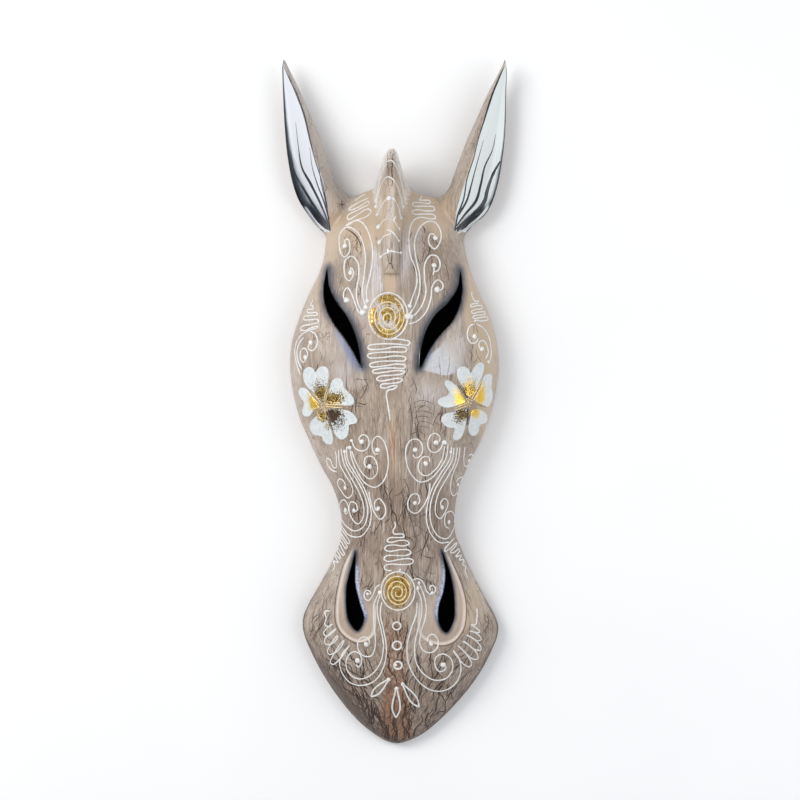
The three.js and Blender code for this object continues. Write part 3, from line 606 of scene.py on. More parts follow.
# ------------------------------------------------------------------ materials
def washed_wood():
    n = Nodes("washed_wood", along=True)
    n.material["slot"] = "washed_wood"
    s = n.shader
    eye, nos, dish = n.attr("eye_d"), n.attr("nostril_d"), n.attr("dish_d")
    edge, cup, cup_t = n.attr("edge_d"), n.attr("cup_d"), n.attr("cup_t")
    tan, wash, stain, crack, back_side = n.attr("tan"), n.attr("wash"), n.attr("stain"), n.attr("crackle"), n.attr("back_side")
    facet_highlight, leaf, strip = n.attr("facet_highlight"), n.attr("leaf"), n.attr("strip")

    # broad colour: taupe, paler and greyer in places, with long streaks along the grain
    broad = n.noise(n.coords(24, 70, 24, (6, 30)), 3, 0.55)
    patch = n.noise(n.coords(9, 30, 9, (3, 12), (3, 1, 7)), 3, 0.6)
    streak = n.noise(n.coords(1.1, 34, 1.1, (0.6, 9), (5, 2, 1)), 3, 0.62)
    fine = n.noise(n.coords(0.45, 7, 0.45, None, (1, 8, 2)), 2, 0.6)
    base = n.mix(n.step(broad, 0.38, 0.62), lin((160, 142, 126)), lin((186, 170, 155)))
    # darker tone by place, partly painted shade where the ears meet the head
    deep = n.attr("deep")
    base = n.mix(n.math("MULTIPLY", deep, 0.85), base, lin((130, 108, 90)))
    base = n.mix(n.math("MULTIPLY", n.step(patch, 0.5, 0.72), 0.55), base, lin((146, 126, 108)))
    base = n.mix(n.math("MULTIPLY", n.step(streak, 0.51, 0.70), 0.62), base, lin((118, 97, 82)))
    base = n.mix(n.math("MULTIPLY", n.step(streak, 0.48, 0.30), 0.6), base, lin((208, 196, 184)))
    base = n.mix(n.math("MULTIPLY", n.step(fine, 0.52, 0.72), 0.42), base, lin((116, 96, 82)))
    hair = n.noise(n.coords(0.62, 26, 0.62, (0.5, 6), (7, 1, 3)), 3, 0.6)
    hair_on = n.math("MULTIPLY", n.step(hair, 0.60, 0.69), n.step(n.noise(n.coords(10, 40, 10, None, (2, 9, 2)), 2, 0.5), 0.4, 0.6))
    base = n.mix(n.math("MULTIPLY", hair_on, n.math("MULTIPLY_ADD", crack, 0.5, 0.2)), base, lin((88, 70, 58)))
    # warm tan paint, grey-lilac wash with painted highlights in it, and dark stain by place
    tan_edge = n.math("ADD", tan, n.math("MULTIPLY", n.math("SUBTRACT", patch, 0.5), 0.9))
    base = n.mix(n.math("MULTIPLY", n.step(tan_edge, 0.2, 0.75), 0.85), base, lin((196, 174, 148)))
    wash_edge = n.math("ADD", wash, n.math("MULTIPLY", n.math("SUBTRACT", streak, 0.5), 1.7))
    base = n.mix(n.math("MULTIPLY", n.step(wash_edge, 0.25, 1.0), 0.66), base, lin((218, 214, 217)))
    strip_edge = n.math("ADD", strip, n.math("MULTIPLY", n.math("SUBTRACT", streak, 0.5), 1.2))
    base = n.mix(n.math("MULTIPLY", n.step(strip_edge, 0.2, 0.9), 0.78), base, n.mix(n.step(streak, 0.40, 0.58), lin((168, 120, 86)), lin((124, 82, 56))))

    # crackle: long broken fissures along the grain, and a few cross cracks
    lines = None
    for size_x, size_y, warp, shift, width, gate_size, low, high in (
        (7.5, 74, (5, 16), (0.3, 0.1, 0.2), 0.036, (12, 34, 5), 0.50, 0.60),
        (4.2, 44, (3, 9), (5.1, 3.2, 7.7), 0.044, (8, 24, 9), 0.53, 0.62),
        (2.4, 24, (1.8, 6), (2.6, 8.4, 1.9), 0.046, (6, 16, 2), 0.58, 0.66),
        (13, 30, (9, 12), (9.5, 4.4, 3.1), 0.017, (15, 17, 14), 0.52, 0.62),
    ):
        f = n.voronoi(n.coords(size_x, size_y, size_x, warp, shift))
        gate = n.noise(n.coords(gate_size[0], gate_size[1], gate_size[0], None, (gate_size[2], shift[0], 4)), 3, 0.62)
        gate = n.math("ADD", gate, n.math("MULTIPLY", n.math("SUBTRACT", crack, 0.5), 0.26))
        on = n.step(gate, low, high)
        cut = n.step(f, n.math("MULTIPLY", on, width), 0.0)
        cut = n.math("MULTIPLY", cut, n.step(on, 0.0, 0.2))
        lines = cut if lines is None else n.math("MAXIMUM", lines, cut)
    tone_dish = n.attr("dish_tone")
    clear = n.math("MULTIPLY", n.math("SUBTRACT", 1.0, n.math("MULTIPLY", n.step(dish, -0.5, 1.5), tone_dish)), n.step(cup, 0.5, -0.5))
    clear = n.math("MULTIPLY", clear, n.step(crack, 0.02, 0.12))
    lines = n.math("MULTIPLY", lines, clear)
    halo = n.noise(n.coords(6, 22, 6, (2, 6), (4, 4, 4)), 2, 0.6)
    smudge = n.math("MULTIPLY", n.math("MULTIPLY", n.step(halo, 0.54, 0.72), n.step(crack, 0.3, 0.9)), 0.62)
    base = n.mix(n.math("MULTIPLY", smudge, clear), base, lin((98, 80, 68)))

    # the dishes round the nostrils are smooth and beige
    in_dish = n.math("MULTIPLY", n.step(dish, -0.2, 0.8), tone_dish)
    base = n.mix(n.math("MULTIPLY", in_dish, 0.8), base, n.mix(n.step(patch, 0.35, 0.7), lin((193, 174, 158)), lin((176, 155, 137))))
    # painted highlight: a pale band on the wall just inside each dish's edge
    dish_rim_highlight = n.math("MULTIPLY", n.math("MULTIPLY", n.step(dish, 0.3, 0.9), n.step(dish, 3.4, 1.6)), tone_dish)
    base = n.mix(n.math("MULTIPLY", dish_rim_highlight, 0.74), base, lin((228, 216, 206)))
    # painted shadow: a thin dark line where each dish steps down, heavier on its outer side
    dish_edge_shadow = n.math("MULTIPLY", n.step(n.math("ABSOLUTE", n.math("ADD", dish, 0.05)), 0.62, 0.15), n.attr("dish_shadow_weight"))

    # dark lines: grain lines down the crest, and painted shade in the crease along the crest's foot, heavier on the
    # right
    grain_lines_and_shade = n.attr("grain_lines_and_shade")
    crest_foot_shade = n.math("MULTIPLY", n.step(n.math("ABSOLUTE", n.math("SUBTRACT", n.attr("crest_d"), 0.2)), 0.8, 0.1), n.attr("foot_shade_weight"))
    grain_lines_and_shade = n.math("MAXIMUM", grain_lines_and_shade, n.math("MULTIPLY", crest_foot_shade, 0.8))
    grain_lines_and_shade = n.math("MULTIPLY", grain_lines_and_shade, n.step(n.noise(n.coords(2, 14, 2, None, (3, 3, 3)), 2, 0.6), 0.3, 0.62))
    base = n.mix(n.math("MULTIPLY", grain_lines_and_shade, 0.8), base, lin((74, 58, 50)))
    # painted shadow along the dishes' step
    base = n.mix(n.math("MULTIPLY", dish_edge_shadow, 0.72), base, lin((66, 52, 44)))
    # painted highlight: a pale streak of sheen along the crest's spine
    spine = n.math("MULTIPLY", n.attr("spine"), n.step(streak, 0.62, 0.4))
    base = n.mix(n.math("MULTIPLY", spine, 0.7), base, lin((216, 209, 204)))
    pale = n.math("MULTIPLY", n.step(edge, 2.2, 0.5), n.attr("pale"))
    base = n.mix(n.math("MULTIPLY", pale, 0.75), base, lin((216, 209, 198)))
    # white paint down the crest's steep sides, brightened by a painted highlight
    flank_paint_and_sheen = n.math("MULTIPLY", n.attr("flank_paint_and_sheen"), n.step(streak, 0.66, 0.42))
    base = n.mix(n.math("MULTIPLY", flank_paint_and_sheen, 0.85), base, lin((236, 232, 226)))

    # dark stain rubbed in along the lower edges
    st = n.math("ADD", stain, n.math("MULTIPLY", n.math("SUBTRACT", n.noise(n.coords(1.7, 17, 1.7, (1.5, 8), (7, 7, 7)), 3, 0.72), 0.5), 2.7))
    base = n.mix(n.math("MULTIPLY", n.math("MULTIPLY", n.step(st, 0.22, 1.0), n.step(stain, 0.0, 0.2)), 0.82), base, lin((72, 52, 42)))
    base = n.mix(n.math("MULTIPLY", n.step(lines, 0.05, 0.7), 0.5), base, lin((84, 66, 56)))

    wall_highlight = n.attr("wall_highlight")
    speck = n.noise(n.coords(1.0, 1.3, 1.0, None, (2, 5, 5)), 3, 0.7)
    # painted highlight: a pale bluish sheen on the facet under each eye
    fc = n.math("ADD", facet_highlight, n.math("MULTIPLY", n.math("SUBTRACT", streak, 0.5), 0.35))
    facet_tone = n.mix(n.step(n.attr("side_x"), -0.5, 0.5), n.mix(n.step(eye, -9.5, -3.2), lin((192, 194, 204)), lin((128, 137, 166))), lin((206, 209, 214)))
    base = n.mix(n.math("MULTIPLY", n.step(fc, 0.1, 0.95), 0.85), base, n.mix(n.math("MULTIPLY", n.step(speck, 0.5, 0.68), 0.5), facet_tone, lin((148, 150, 158))))

    # smoky blue-black edge and black inside of the eyes and nostrils
    pit = n.math("MAXIMUM", eye, n.math("MULTIPLY", nos, 1.9))
    rag = n.math("ADD", pit, n.math("MULTIPLY", n.math("SUBTRACT", n.noise(n.coords(5, 9, 5, None, (2, 2, 9)), 2, 0.6), 0.5), 2.4))
    smoke = n.math("ADD", rag, n.attr("smoke"))
    base = n.mix(n.math("MULTIPLY", n.step(smoke, -6.4, -0.2), 0.88), base, lin((40, 53, 74)))
    base = n.mix(n.step(smoke, -1.9, 0.25), base, lin((12, 15, 20)))
    base = n.mix(n.step(pit, 0.25, 1.1), base, lin((3, 3, 4)))
    # painted highlight: a speckled bluish-white reflection on the sloping walls of the eye pits and nostrils
    gl = n.math("ADD", wall_highlight, n.math("MULTIPLY", n.math("SUBTRACT", speck, 0.5), 1.8))
    base = n.mix(n.math("MULTIPLY", n.math("MULTIPLY", n.step(gl, 0.1, 1.1), n.step(wall_highlight, 0.02, 0.3)), 0.85), base, n.mix(n.step(gl, 0.5, 1.2), lin((128, 142, 178)), lin((212, 214, 230))))

    # gold leaf laid on the discs, torn at its edges
    torn = n.math("ADD", leaf, n.math("MULTIPLY", n.math("SUBTRACT", n.noise(n.coords(2.2, 2.6, 2.2, None, (3, 9, 1)), 4, 0.7), 0.5), 1.3))
    gold = n.step(torn, 0.47, 0.53)
    gold_tone = n.mix(n.step(n.noise(n.coords(5.5, 5.5, 5.5, None, (8, 3, 3)), 3, 0.6), 0.38, 0.62), lin((182, 136, 54)), lin((217, 184, 112)))
    gold_tone = n.mix(n.math("MULTIPLY", n.step(n.noise(n.coords(3.4, 3.0, 3, None, (1, 3, 6)), 3, 0.6), 0.55, 0.66), 0.6), gold_tone, lin((128, 84, 24)))
    base = n.mix(gold, base, gold_tone)

    # ears: cool white cup, navy band along its outer edge; the white is painted lighter on the right ear than the left,
    # painted light that makes up for the shade the right cup falls in
    on_cup = n.step(cup, -0.15, 0.25)
    tint = n.mix(n.step(n.attr("side_x"), -1, 1), lin((221, 223, 229)), lin((236, 241, 239)))
    band = n.attr("cup_band")
    band = n.math("ADD", band, n.math("MULTIPLY", n.math("SUBTRACT", n.noise(n.coords(3, 12, 3, None, (6, 6, 2)), 2, 0.6), 0.5), 0.3))
    ear = n.mix(n.step(band, 0.05, 0.95), tint, lin((70, 84, 102)))
    ear = n.mix(n.step(band, 0.55, 1.1), ear, lin((20, 26, 34)))
    base = n.mix(on_cup, base, ear)

    # plain raw wood behind, toned brown
    raw = n.mix(n.step(streak, 0.3, 0.7), lin((112, 84, 60)), lin((164, 132, 100)))
    raw = n.mix(n.math("MULTIPLY", n.step(fine, 0.5, 0.75), 0.5), raw, lin((84, 60, 42)))
    base = n.mix(n.step(back_side, 0.3, 0.7), base, raw)
    n.link(base, s.inputs["Base Color"])
    n.link(n.math("MULTIPLY", gold, n.step(back_side, 0.7, 0.3)), s.inputs["Metallic"])
    rough = n.math("ADD", 0.40, n.math("MULTIPLY", n.math("SUBTRACT", patch, 0.5), 0.25))
    rough = n.math("ADD", rough, n.math("MULTIPLY", lines, 0.15))
    rough = n.math("SUBTRACT", rough, n.math("MULTIPLY", n.step(pit, -0.5, 0.6), 0.12))
    rough = n.math("SUBTRACT", rough, n.math("MULTIPLY", gold, 0.14))
    rough = n.math("ADD", rough, n.math("MULTIPLY", n.step(back_side, 0.3, 0.7), 0.32), clamp=True)
    n.link(rough, s.inputs["Roughness"])
    s.inputs["IOR"].default_value = 1.5
    dark_pit = n.step(pit, 1.2, -0.6)
    n.link(n.math("MULTIPLY", dark_pit, 0.22), s.inputs["Coat Weight"])
    n.link(n.math("MULTIPLY", dark_pit, 0.5), s.inputs["Specular IOR Level"])
    s.inputs["Coat Roughness"].default_value = 0.22
    height = n.math("SUBTRACT", n.math("MULTIPLY", streak, 0.28), n.math("MULTIPLY", lines, 0.6))
    height = n.math("ADD", height, n.math("MULTIPLY", fine, 0.10))
    b = n.bump(height, 0.35, 0.7)
    b = n.bump(n.math("MULTIPLY", n.noise(n.coords(4.5, 4.0, 4.5, None, (4, 4, 1)), 3, 0.65), gold), 0.5, 0.7, b)
    n.link(b, s.inputs["Normal"])
    return n.material


def paint(name, tone, low, rough=0.36, leaf=False, coat=0.15):
    """thick hand paint: slightly uneven in tone and surface; leaf adds torn gold over it"""
    n = Nodes(name)
    v = n.noise(n.coords(2.4, 3.2, 2.4, None, (3, 1, 2)), 3, 0.6)
    c = n.mix(n.step(v, 0.3, 0.7), lin(low), lin(tone))
    s = n.shader
    r = n.math("ADD", rough, n.math("MULTIPLY", n.math("SUBTRACT", v, 0.5), 0.2))
    if leaf:
        f = n.math("ADD", n.attr("leaf"), n.math("MULTIPLY", n.math("SUBTRACT", n.noise(n.coords(0.95, 1.15, 0.95, None, (3, 9, 1)), 3, 0.75), 0.5), 2.7))
        gold = n.step(f, 0.47, 0.56)
        g = n.mix(n.noise(n.coords(1.4, 1.2, 1.4, None, (8, 3, 3)), 3, 0.6), lin((222, 168, 40)), lin((255, 226, 120)))
        dark = n.math("ADD", n.attr("brown"), n.math("MULTIPLY", n.math("SUBTRACT", n.noise(n.coords(0.8, 1.0, 0.8, None, (5, 2, 6)), 3, 0.8), 0.5), 3.0))
        g = n.mix(n.step(dark, 0.46, 0.6), g, lin((58, 38, 3)))
        c = n.mix(gold, c, g)
        n.link(n.math("MULTIPLY", gold, n.step(dark, 0.62, 0.48)), s.inputs["Metallic"])
        r = n.math("SUBTRACT", r, n.math("MULTIPLY", gold, 0.08))
    n.link(c, s.inputs["Base Color"])
    n.link(r, s.inputs["Roughness"])
    s.inputs["Coat Weight"].default_value = coat
    s.inputs["Coat Roughness"].default_value = 0.2
    n.link(n.bump(n.noise(n.coords(1.1, 1.4, 1.1, None, (1, 1, 5)), 3, 0.6), 0.12, 0.5), s.inputs["Normal"])
    return n.material


WOOD = washed_wood()
LINE_WHITE = paint("line_paint", (238, 237, 235), (218, 216, 212), leaf=True)
PETAL_WHITE = paint("petal_paint", (221, 225, 225), (206, 211, 211), rough=0.42, leaf=True)
EAR_BLACK = paint("ear_line_paint", (34, 41, 50), (14, 18, 24), rough=0.34)
GOLD_LINE = paint("gold_line_paint", (236, 206, 140), (250, 240, 215), rough=0.3, leaf=True)

SPIRAL_CREAM = paint("spiral_paint", (240, 230, 204), (214, 190, 140), rough=0.32, leaf=True)

mask = mesh_piece("mask_body", verts, faces, WOOD, sharp=52)

# ------------------------------------------------------------------ where the colours go
nb = len(b_xy)
total = len(verts)
front_side = np.zeros(total, bool)
front_side[:nf] = True
side_v = verts[nf + nb:]


def over_all(front_values, back_value, side_value=None):
    """values for the whole mesh: front, back, then the bands of the side wall, which follow the front's edge"""
    out = np.full(total, float(back_value))
    out[:nf] = front_values
    edge_vals = np.asarray(front_values)[[f_at[i] for i in range(n_out)]]
    for k in range(BANDS - 1):
        out[nf + nb + k * n_out: nf + nb + (k + 1) * n_out] = edge_vals if side_value is None else side_value
    return out


X, Y = f_xy[:, 0], f_xy[:, 1]


def at_px(px, py, z=45.0):
    """a place in the picture, in mm, for something about z above the rim"""
    k = MM_PER_PX * (CAM_H - z) / CAM_H
    return CAM_X + (px - 400) * k, CAM_Y + (400 - py) * k


def blob(px, py, rx, ry, power=1.0, z=45.0):
    """a soft spot, 1 in the middle; centre and radii in picture pixels"""
    cx, cy = at_px(px, py, z)
    q = ((X - cx) / (rx * MM_PER_PX)) ** 2 + ((Y - cy) / (ry * MM_PER_PX)) ** 2
    return np.exp(-q * power)


cup_d = np.full(nf, -30.0)
cup_t = np.ones(nf)
for e in (EAR_LEFT, EAR_RIGHT):
    XX = e["side"] * X
    m = (XX > 30) & (Y > 119)
    v = XX - at(e["ridge"], Y)
    cup_d = np.where(m, np.minimum(v, (Y - 124.4) * 1.2), cup_d)
    cup_t = np.where(m, np.clip((at(e["lateral"], Y) - XX) / np.maximum(0.4, at(e["lateral"], Y) - at(e["ridge"], Y)), 0, 1), cup_t)
BAND_MM = [[118, 0.5], [124, 3.5], [130, 7.5], [138, 9.5], [150, 8.5], [165, 6.5], [185, 3.6], [210, 2.0], [235, 1.2], [250, 0.9]]
lat_gap = np.where(X < 0, at(EAR_LEFT["lateral"], Y) + X, at(EAR_RIGHT["lateral"], Y) - X)
cup_band = np.where(X < 0, 1.35, 0.72 + 0.62 * smooth(150, 134, Y)) - np.clip(edge_d, 0, None) / (at(BAND_MM, Y) * np.where(X < 0, 1, 0.82))
cup_band = cup_band + np.where(X < 0, 0, 0.6) * np.exp(-np.clip(edge_d, 0, None) / 0.8)
cup_band = cup_band + 0.45 * smooth(148, 132, Y) * smooth(11, 4, edge_d)
cup_band = np.where(Y < 152, np.maximum(cup_band - smooth(2.9, 1.9, edge_d) * smooth(146, 138, Y) * 2.2, -1) + 1.6 * smooth(0.9, 0.3, edge_d), cup_band)

axis_gap = X - at(AXIS_X, Y)
tan = np.clip(
    blob(376, 212, 26, 30) + blob(415, 206, 30, 26) + blob(356, 232, 16, 26) * 0.7 + blob(390, 285, 8, 16)
    + blob(487, 325, 12, 60, z=25) + blob(473, 300, 12, 40, z=35) + 0.8 * blob(484, 400, 9, 60, z=25) + 0.6 * blob(318, 290, 12, 30, z=30)
    + blob(393, 440, 6, 40) * 0.7 + 0.7 * blob(330, 230, 10, 40, z=30) + 0.5 * blob(445, 225, 14, 30) + 0.5 * blob(478, 600, 12, 40, z=25) + 0.45 * blob(466, 615, 7, 30, z=30), 0, 1)
# grey-lilac wash; the tall narrow blobs down the bridge's shoulders and the blobs below the eyes are painted
# highlights, the lacquer's sheen
wash = np.clip(
    0.45 * blob(375, 268, 6, 40, 1.0) + 0.35 * blob(380, 282, 3.5, 16) + 0.62 * blob(406, 255, 6, 40, 1.0) + 0.6 * blob(460, 345, 14, 24, z=35) + 0.3 * blob(430, 392, 26, 12) + 0.9 * blob(366, 300, 10, 40) * 0.6 + 0.5 * blob(420, 245, 7, 36)
    + 0.6 * blob(391, 205, 5, 26) + 0.55 * blob(345, 370, 24, 26) + 0.4 * blob(430, 400, 20, 40) + 0.5 * blob(400, 568, 10, 12)
    + 0.45 * blob(298, 340, 8, 50, z=25) + 0.4 * blob(435, 215, 10, 16) + 0.5 * blob(333, 205, 10, 16, z=30), 0, 1)
low_left = smooth(-158, -192, Y) * np.exp(-np.clip(edge_d, 0, None) / 6.0) * np.where(axis_gap < 0, 1.4, 0.7)
rim_dark = 1.7 * np.exp(-np.clip(edge_d, 0, None) / 0.75) * smooth(-128, -160, Y)
stain = np.clip(
    0.95 * low_left + 1.1 * rim_dark + 0.55 * blob(332, 686, 18, 22) + 0.5 * blob(352, 712, 20, 18) + 0.35 * blob(395, 725, 30, 18)
    + 0.22 * blob(441, 712, 26, 20) + 0.25 * blob(463, 690, 18, 16) + 0.25 * blob(392, 505, 16, 26) + 0.3 * blob(345, 505, 10, 20), 0, 1.3)
stain = stain + 0.5 * np.exp(-np.clip(edge_d, 0, None) / 1.0) * smooth(100, 60, Y) * smooth(-120, -60, Y) * 0.3
strip = np.clip(0.66 * blob(393, 447, 5.5, 34) + smooth(11 + 5 * smooth(-205, -240, Y), 6, np.abs(axis_gap + 1)) * smooth(-140, -165, Y) * (0.62 + 0.85 * smooth(-195, -236, Y)), 0, 1)
half = (at(HEAD_ROWS, Y, 2) - at(HEAD_ROWS, Y, 1)) / 2
grain_x = np.where(Y < -165, (X - 2.2) / (0.3 + 0.7 * np.clip(half / 71.5, 0, 1)) + 2.2, X)
deep = np.clip(smooth(-38, -80, Y) * smooth(-128, -104, Y) * 0.95 + 0.5 * smooth(12, -20, Y) * smooth(-70, -50, Y) * smooth(40, 12, np.abs(X)) + 0.45 * smooth(-172, -205, Y) + 0.35 * blob(318, 612, 14, 40, z=25) + 0.45 * blob(352, 395, 16, 34) + 0.4 * blob(430, 400, 16, 34) + 0.45 * blob(463, 330, 8, 34, z=35), 0, 1)
# dark grain lines down the crest
grain_lines_and_shade = np.zeros(nf)
crest_d = at(CREST_FOOT, Y) - np.abs(axis_gap)
for gx, g0, g1, w in ((-4.0, 158, 178, 0.35), (-1.2, 156, 178, 0.35), (-2.6, 138, 158, 0.5)):
    grain_lines_and_shade = np.maximum(grain_lines_and_shade, np.exp(-((X - gx - 0.5 * np.sin(Y / 3.1)) / w) ** 2) * smooth(g0 - 3, g0, Y) * smooth(g1, g1 - 3, Y))
dish_mid = np.where(X < 0, np.interp(Y, [-165, -150, -130, -108], [26.5, 27, 30, 28]), np.interp(Y, [-165, -150, -130, -108], [37.6, 37, 38, 35]))
dish_tone = np.maximum(smooth(-4, 3, np.abs(X) - dish_mid) * smooth(-100, -116, Y), smooth(-136, -152, Y))
# weight of the painted shadow along the dishes' step, heavier on their outer side
dish_shadow_weight = smooth(-108, -122, Y) * np.where(np.abs(axis_gap) > 24, 1.0, 0.35) * smooth(12, 20, np.abs(axis_gap))
pale = smooth(152, 162, Y) * (np.abs(X) < 16)
# painted highlight: a pale streak of sheen along the crest's spine
spine = np.exp(-(axis_gap / 1.8) ** 2) * smooth(96, 112, Y) * smooth(165, 150, Y)
# painted shade in the crease along the crest's foot, heavier on the right
foot_shade_weight = smooth(CREST_START_Y + 2, CREST_START_Y + 9, Y) * smooth(132, 118, Y) * np.where(axis_gap > 0, 0.9, 0.4)
# white paint down the crest's steep sides, brightened by a painted highlight
flank_paint_and_sheen = smooth(128, 150, Y) * smooth(5.2, 2.2, np.minimum(crest_d, edge_d + 0.8)) * (np.abs(X) < 18) * (crest_d > -1.5)
pale = np.maximum(pale, 0)
crackle = np.clip(
    0.42 + 0.34 * smooth(-40, -90, Y) - 0.14 * smooth(-110, -135, Y) + 0.2 * smooth(-170, -205, Y) - 0.35 * smooth(110, 140, Y) + 0.45 * blob(350, 235, 14, 24)
    - 0.25 * tan - 0.2 * wash + 0.25 * blob(425, 425, 22, 20) + 0.2 * blob(352, 400, 18, 26) + 0.3 * blob(427, 250, 10, 26) + 0.2 * blob(465, 340, 10, 22, z=35), 0, 1)
crest_in = at(CREST_FOOT, Y) - np.abs(axis_gap)
ear_side = (Y > 138) & (np.abs(X) > 26) & (cup_d < 0)
crackle = np.where(ear_side, 0.55, crackle)
wash = np.where(ear_side & (X < 0), 0.5, wash)
# the ears' medial sides get little darkening; the two darker spots where the ears meet the head are painted shade
deep = np.where(ear_side, 0.08, deep) + 0.5 * (blob(338, 205, 9, 14, z=25) + blob(452, 205, 9, 14, z=25)) * (Y > 100)
deep = np.clip(deep + 0.55 * blob(352, 236, 9, 12) + 0.5 * blob(425, 240, 10, 30) + 0.4 * blob(366, 280, 6, 24), 0, 1)
crackle = np.where((crest_in > 0) & (Y > CREST_START_Y), 0.5, crackle)

# painted highlights on the facets below the eyes: a crisp lower edge on the right, a soft glow on the left
def facet_loop(points):
    return curve([at_px(u, v, 50) for u, v in points], 1.0, closed=True)


right_facet = inside(facet_loop([(419.5, 369), (427, 371.6), (437, 374.2), (446, 376), (455, 373), (463, 366), (470, 352), (474, 338), (474, 322), (464, 312), (440, 345), (426, 358)]), X, Y)
left_facet = inside(facet_loop([(364.5, 369), (357, 370.5), (350, 366), (344, 355), (338, 340), (336, 330), (344, 334), (356, 352)]), X, Y)
facet_highlight = 0.95 * smooth(-0.3, 0.9, right_facet) * smooth(62, 24, X + 0.75 * (Y - 34)) + 0.75 * smooth(-7, 4, left_facet) * smooth(-13, -3, eye_d)
facet_highlight = facet_highlight * (eye_d < 0.4)


def mid_line(poly, y):
    """the middle of a pit across the mask, at height y"""
    ys = np.linspace(poly[:, 1].min() + 1.5, poly[:, 1].max() - 1.5, 26)
    mid = [0.5 * (poly[np.abs(poly[:, 1] - v) < 1.6, 0].min() + poly[np.abs(poly[:, 1] - v) < 1.6, 0].max()) for v in ys]
    return np.interp(y, ys, mid)


# painted highlight: a speckled bluish-white reflection on the sloping walls of the eye pits and nostrils
wall_highlight = np.zeros(nf)
for side, poly, power in ((-1, eyes[0], 0.62), (1, eyes[1], 0.5)):
    d = -inside(poly, X, Y)
    top, foot = np.array([side * 48, 96.0]), np.array([side * 20.5, 24.0])
    v = foot - top
    s_ = ((X - top[0]) * v[0] + (Y - top[1]) * v[1]) / (v @ v)
    off = side * ((X - top[0]) * -v[1] + (Y - top[1]) * v[0]) / np.hypot(*v)
    wall_highlight += np.where(side * X > side * mid_line(poly, Y), power * smooth(6.0, 0.2, d) * smooth(-0.5, 0.9, d) * smooth(0.42, 0.75, s_) * smooth(1.0, 0.90, s_), 0)
for side, poly in ((-1, nostrils[0]), (1, nostrils[1])):
    d = -inside(poly, X, Y)
    mid = np.interp(Y, [-165, -150, -130, -108], [26.5, 27, 30, 28] if side < 0 else [37.6, 37, 38, 35])
    wall_highlight += np.where(side * X < mid, 0.95 * smooth(4.0, 1.4, d) * smooth(-1.1, 0.4, d) * smooth(-110, -122, Y) * smooth(-163, -150, Y), 0)
smoke = np.zeros(nf)
for side, poly in ((-1, eyes[0]), (1, eyes[1])):
    d = inside(poly, X, Y)
    top, foot = np.array([side * 48, 96.0]), np.array([side * 20.5, 24.0])
    v = foot - top
    ln = np.hypot(*v)
    s_ = ((X - top[0]) * v[0] + (Y - top[1]) * v[1]) / ln**2
    off = side * ((X - top[0]) * -v[1] + (Y - top[1]) * v[0]) / ln
    smoke += np.where(d > -12, -2.6 * smooth(0, 3, off) * smooth(0.3, 0.55, s_) + 1.0 * smooth(0, -3, off) - 0.5 * smooth(0, 3, off), 0)

leaf = np.zeros(nf)
D1, D2 = (388.3, 316.0), (398.0, 591.0)
for px, py, rx, ry, w in ((371.6, 317, 4.6, 9, 1.0), (388, 299, 8, 4.6, 1.0), (386, 334, 9, 4.4, 1.0), (401, 322, 4.5, 9, 0.95), (388.6, 314, 5.5, 6.5, 0.9), (398, 305, 4, 6, 0.6), (378, 330, 5, 5, 0.8)):
    leaf = np.maximum(leaf, w * blob(px, py, rx * 1.25, ry * 1.25, 0.7, z=61))
ring_x, ring_y = at_px(D1[0], D1[1], 61)
leaf = leaf * smooth(1.02, 0.84, np.hypot((X - ring_x) / (19 * MM_PER_PX), (Y - ring_y) / (22.8 * MM_PER_PX)))
leaf = np.maximum(leaf, 1.25 * blob(397.5, 590, 12.5, 18, 0.9, z=52) ** 1.2)
leaf = leaf * (crest_in < 50)
wash = np.maximum(wash, 0.8 * smooth(1.0, 0.8, np.hypot((X - ring_x) / (17.5 * MM_PER_PX), (Y - ring_y) / (21.5 * MM_PER_PX))))

for name, values, bv in (("eye_d", eye_d, -30), ("nostril_d", nos_d, -30), ("dish_d", dish_d, -30), ("edge_d", edge_d, 5), ("cup_d", cup_d, -30), ("cup_t", cup_t, 1),
                         ("tan", tan, 0), ("wash", wash, 0), ("stain", stain, 0), ("crackle", crackle, 0), ("facet_highlight", facet_highlight, 0), ("leaf", leaf, 0), ("strip", strip, 0),
                         ("smoke", smoke, 0), ("deep", deep, 0), ("grain_x", grain_x, 0), ("grain_lines_and_shade", grain_lines_and_shade, 0), ("pale", pale, 0), ("wall_highlight", wall_highlight, 0), ("spine", spine, 0), ("flank_paint_and_sheen", flank_paint_and_sheen, 0), ("foot_shade_weight", foot_shade_weight, 0), ("crest_d", crest_d, -30), ("dish_shadow_weight", dish_shadow_weight * (0.15 + 0.85 * dish_tone), 0), ("dish_tone", dish_tone, 0), ("cup_band", cup_band, 0), ("side_x", X / 20, 0)):
    attribute(mask, name, over_all(values, bv))
back_values = np.zeros(total)
back_values[nf:nf + nb] = 1
for k in range(BANDS - 1):
    back_values[nf + nb + k * n_out: nf + nb + (k + 1) * n_out] = 0.0
attribute(mask, "back_side", back_values)
gx_all = verts[:, 0].copy()
gx_all[:nf] = grain_x
mask.data.attributes["grain_x"].data.foreach_set("value", gx_all.astype(np.float32))
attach(mask, "root")
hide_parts("carved_mask")


# ------------------------------------------------------------------ laying paint on the carved face
tree = BVHTree.FromPolygons([tuple(v) for v in verts[:nf]], f_tris)
_t = np.array(f_tris)
_n = np.cross(verts[_t[:, 1]] - verts[_t[:, 0]], verts[_t[:, 2]] - verts[_t[:, 0]])
vertex_n = np.zeros((nf, 3))
for c in range(3):
    np.add.at(vertex_n, _t[:, c], _n)
vertex_n /= np.maximum(1e-12, np.linalg.norm(vertex_n, axis=1))[:, None]


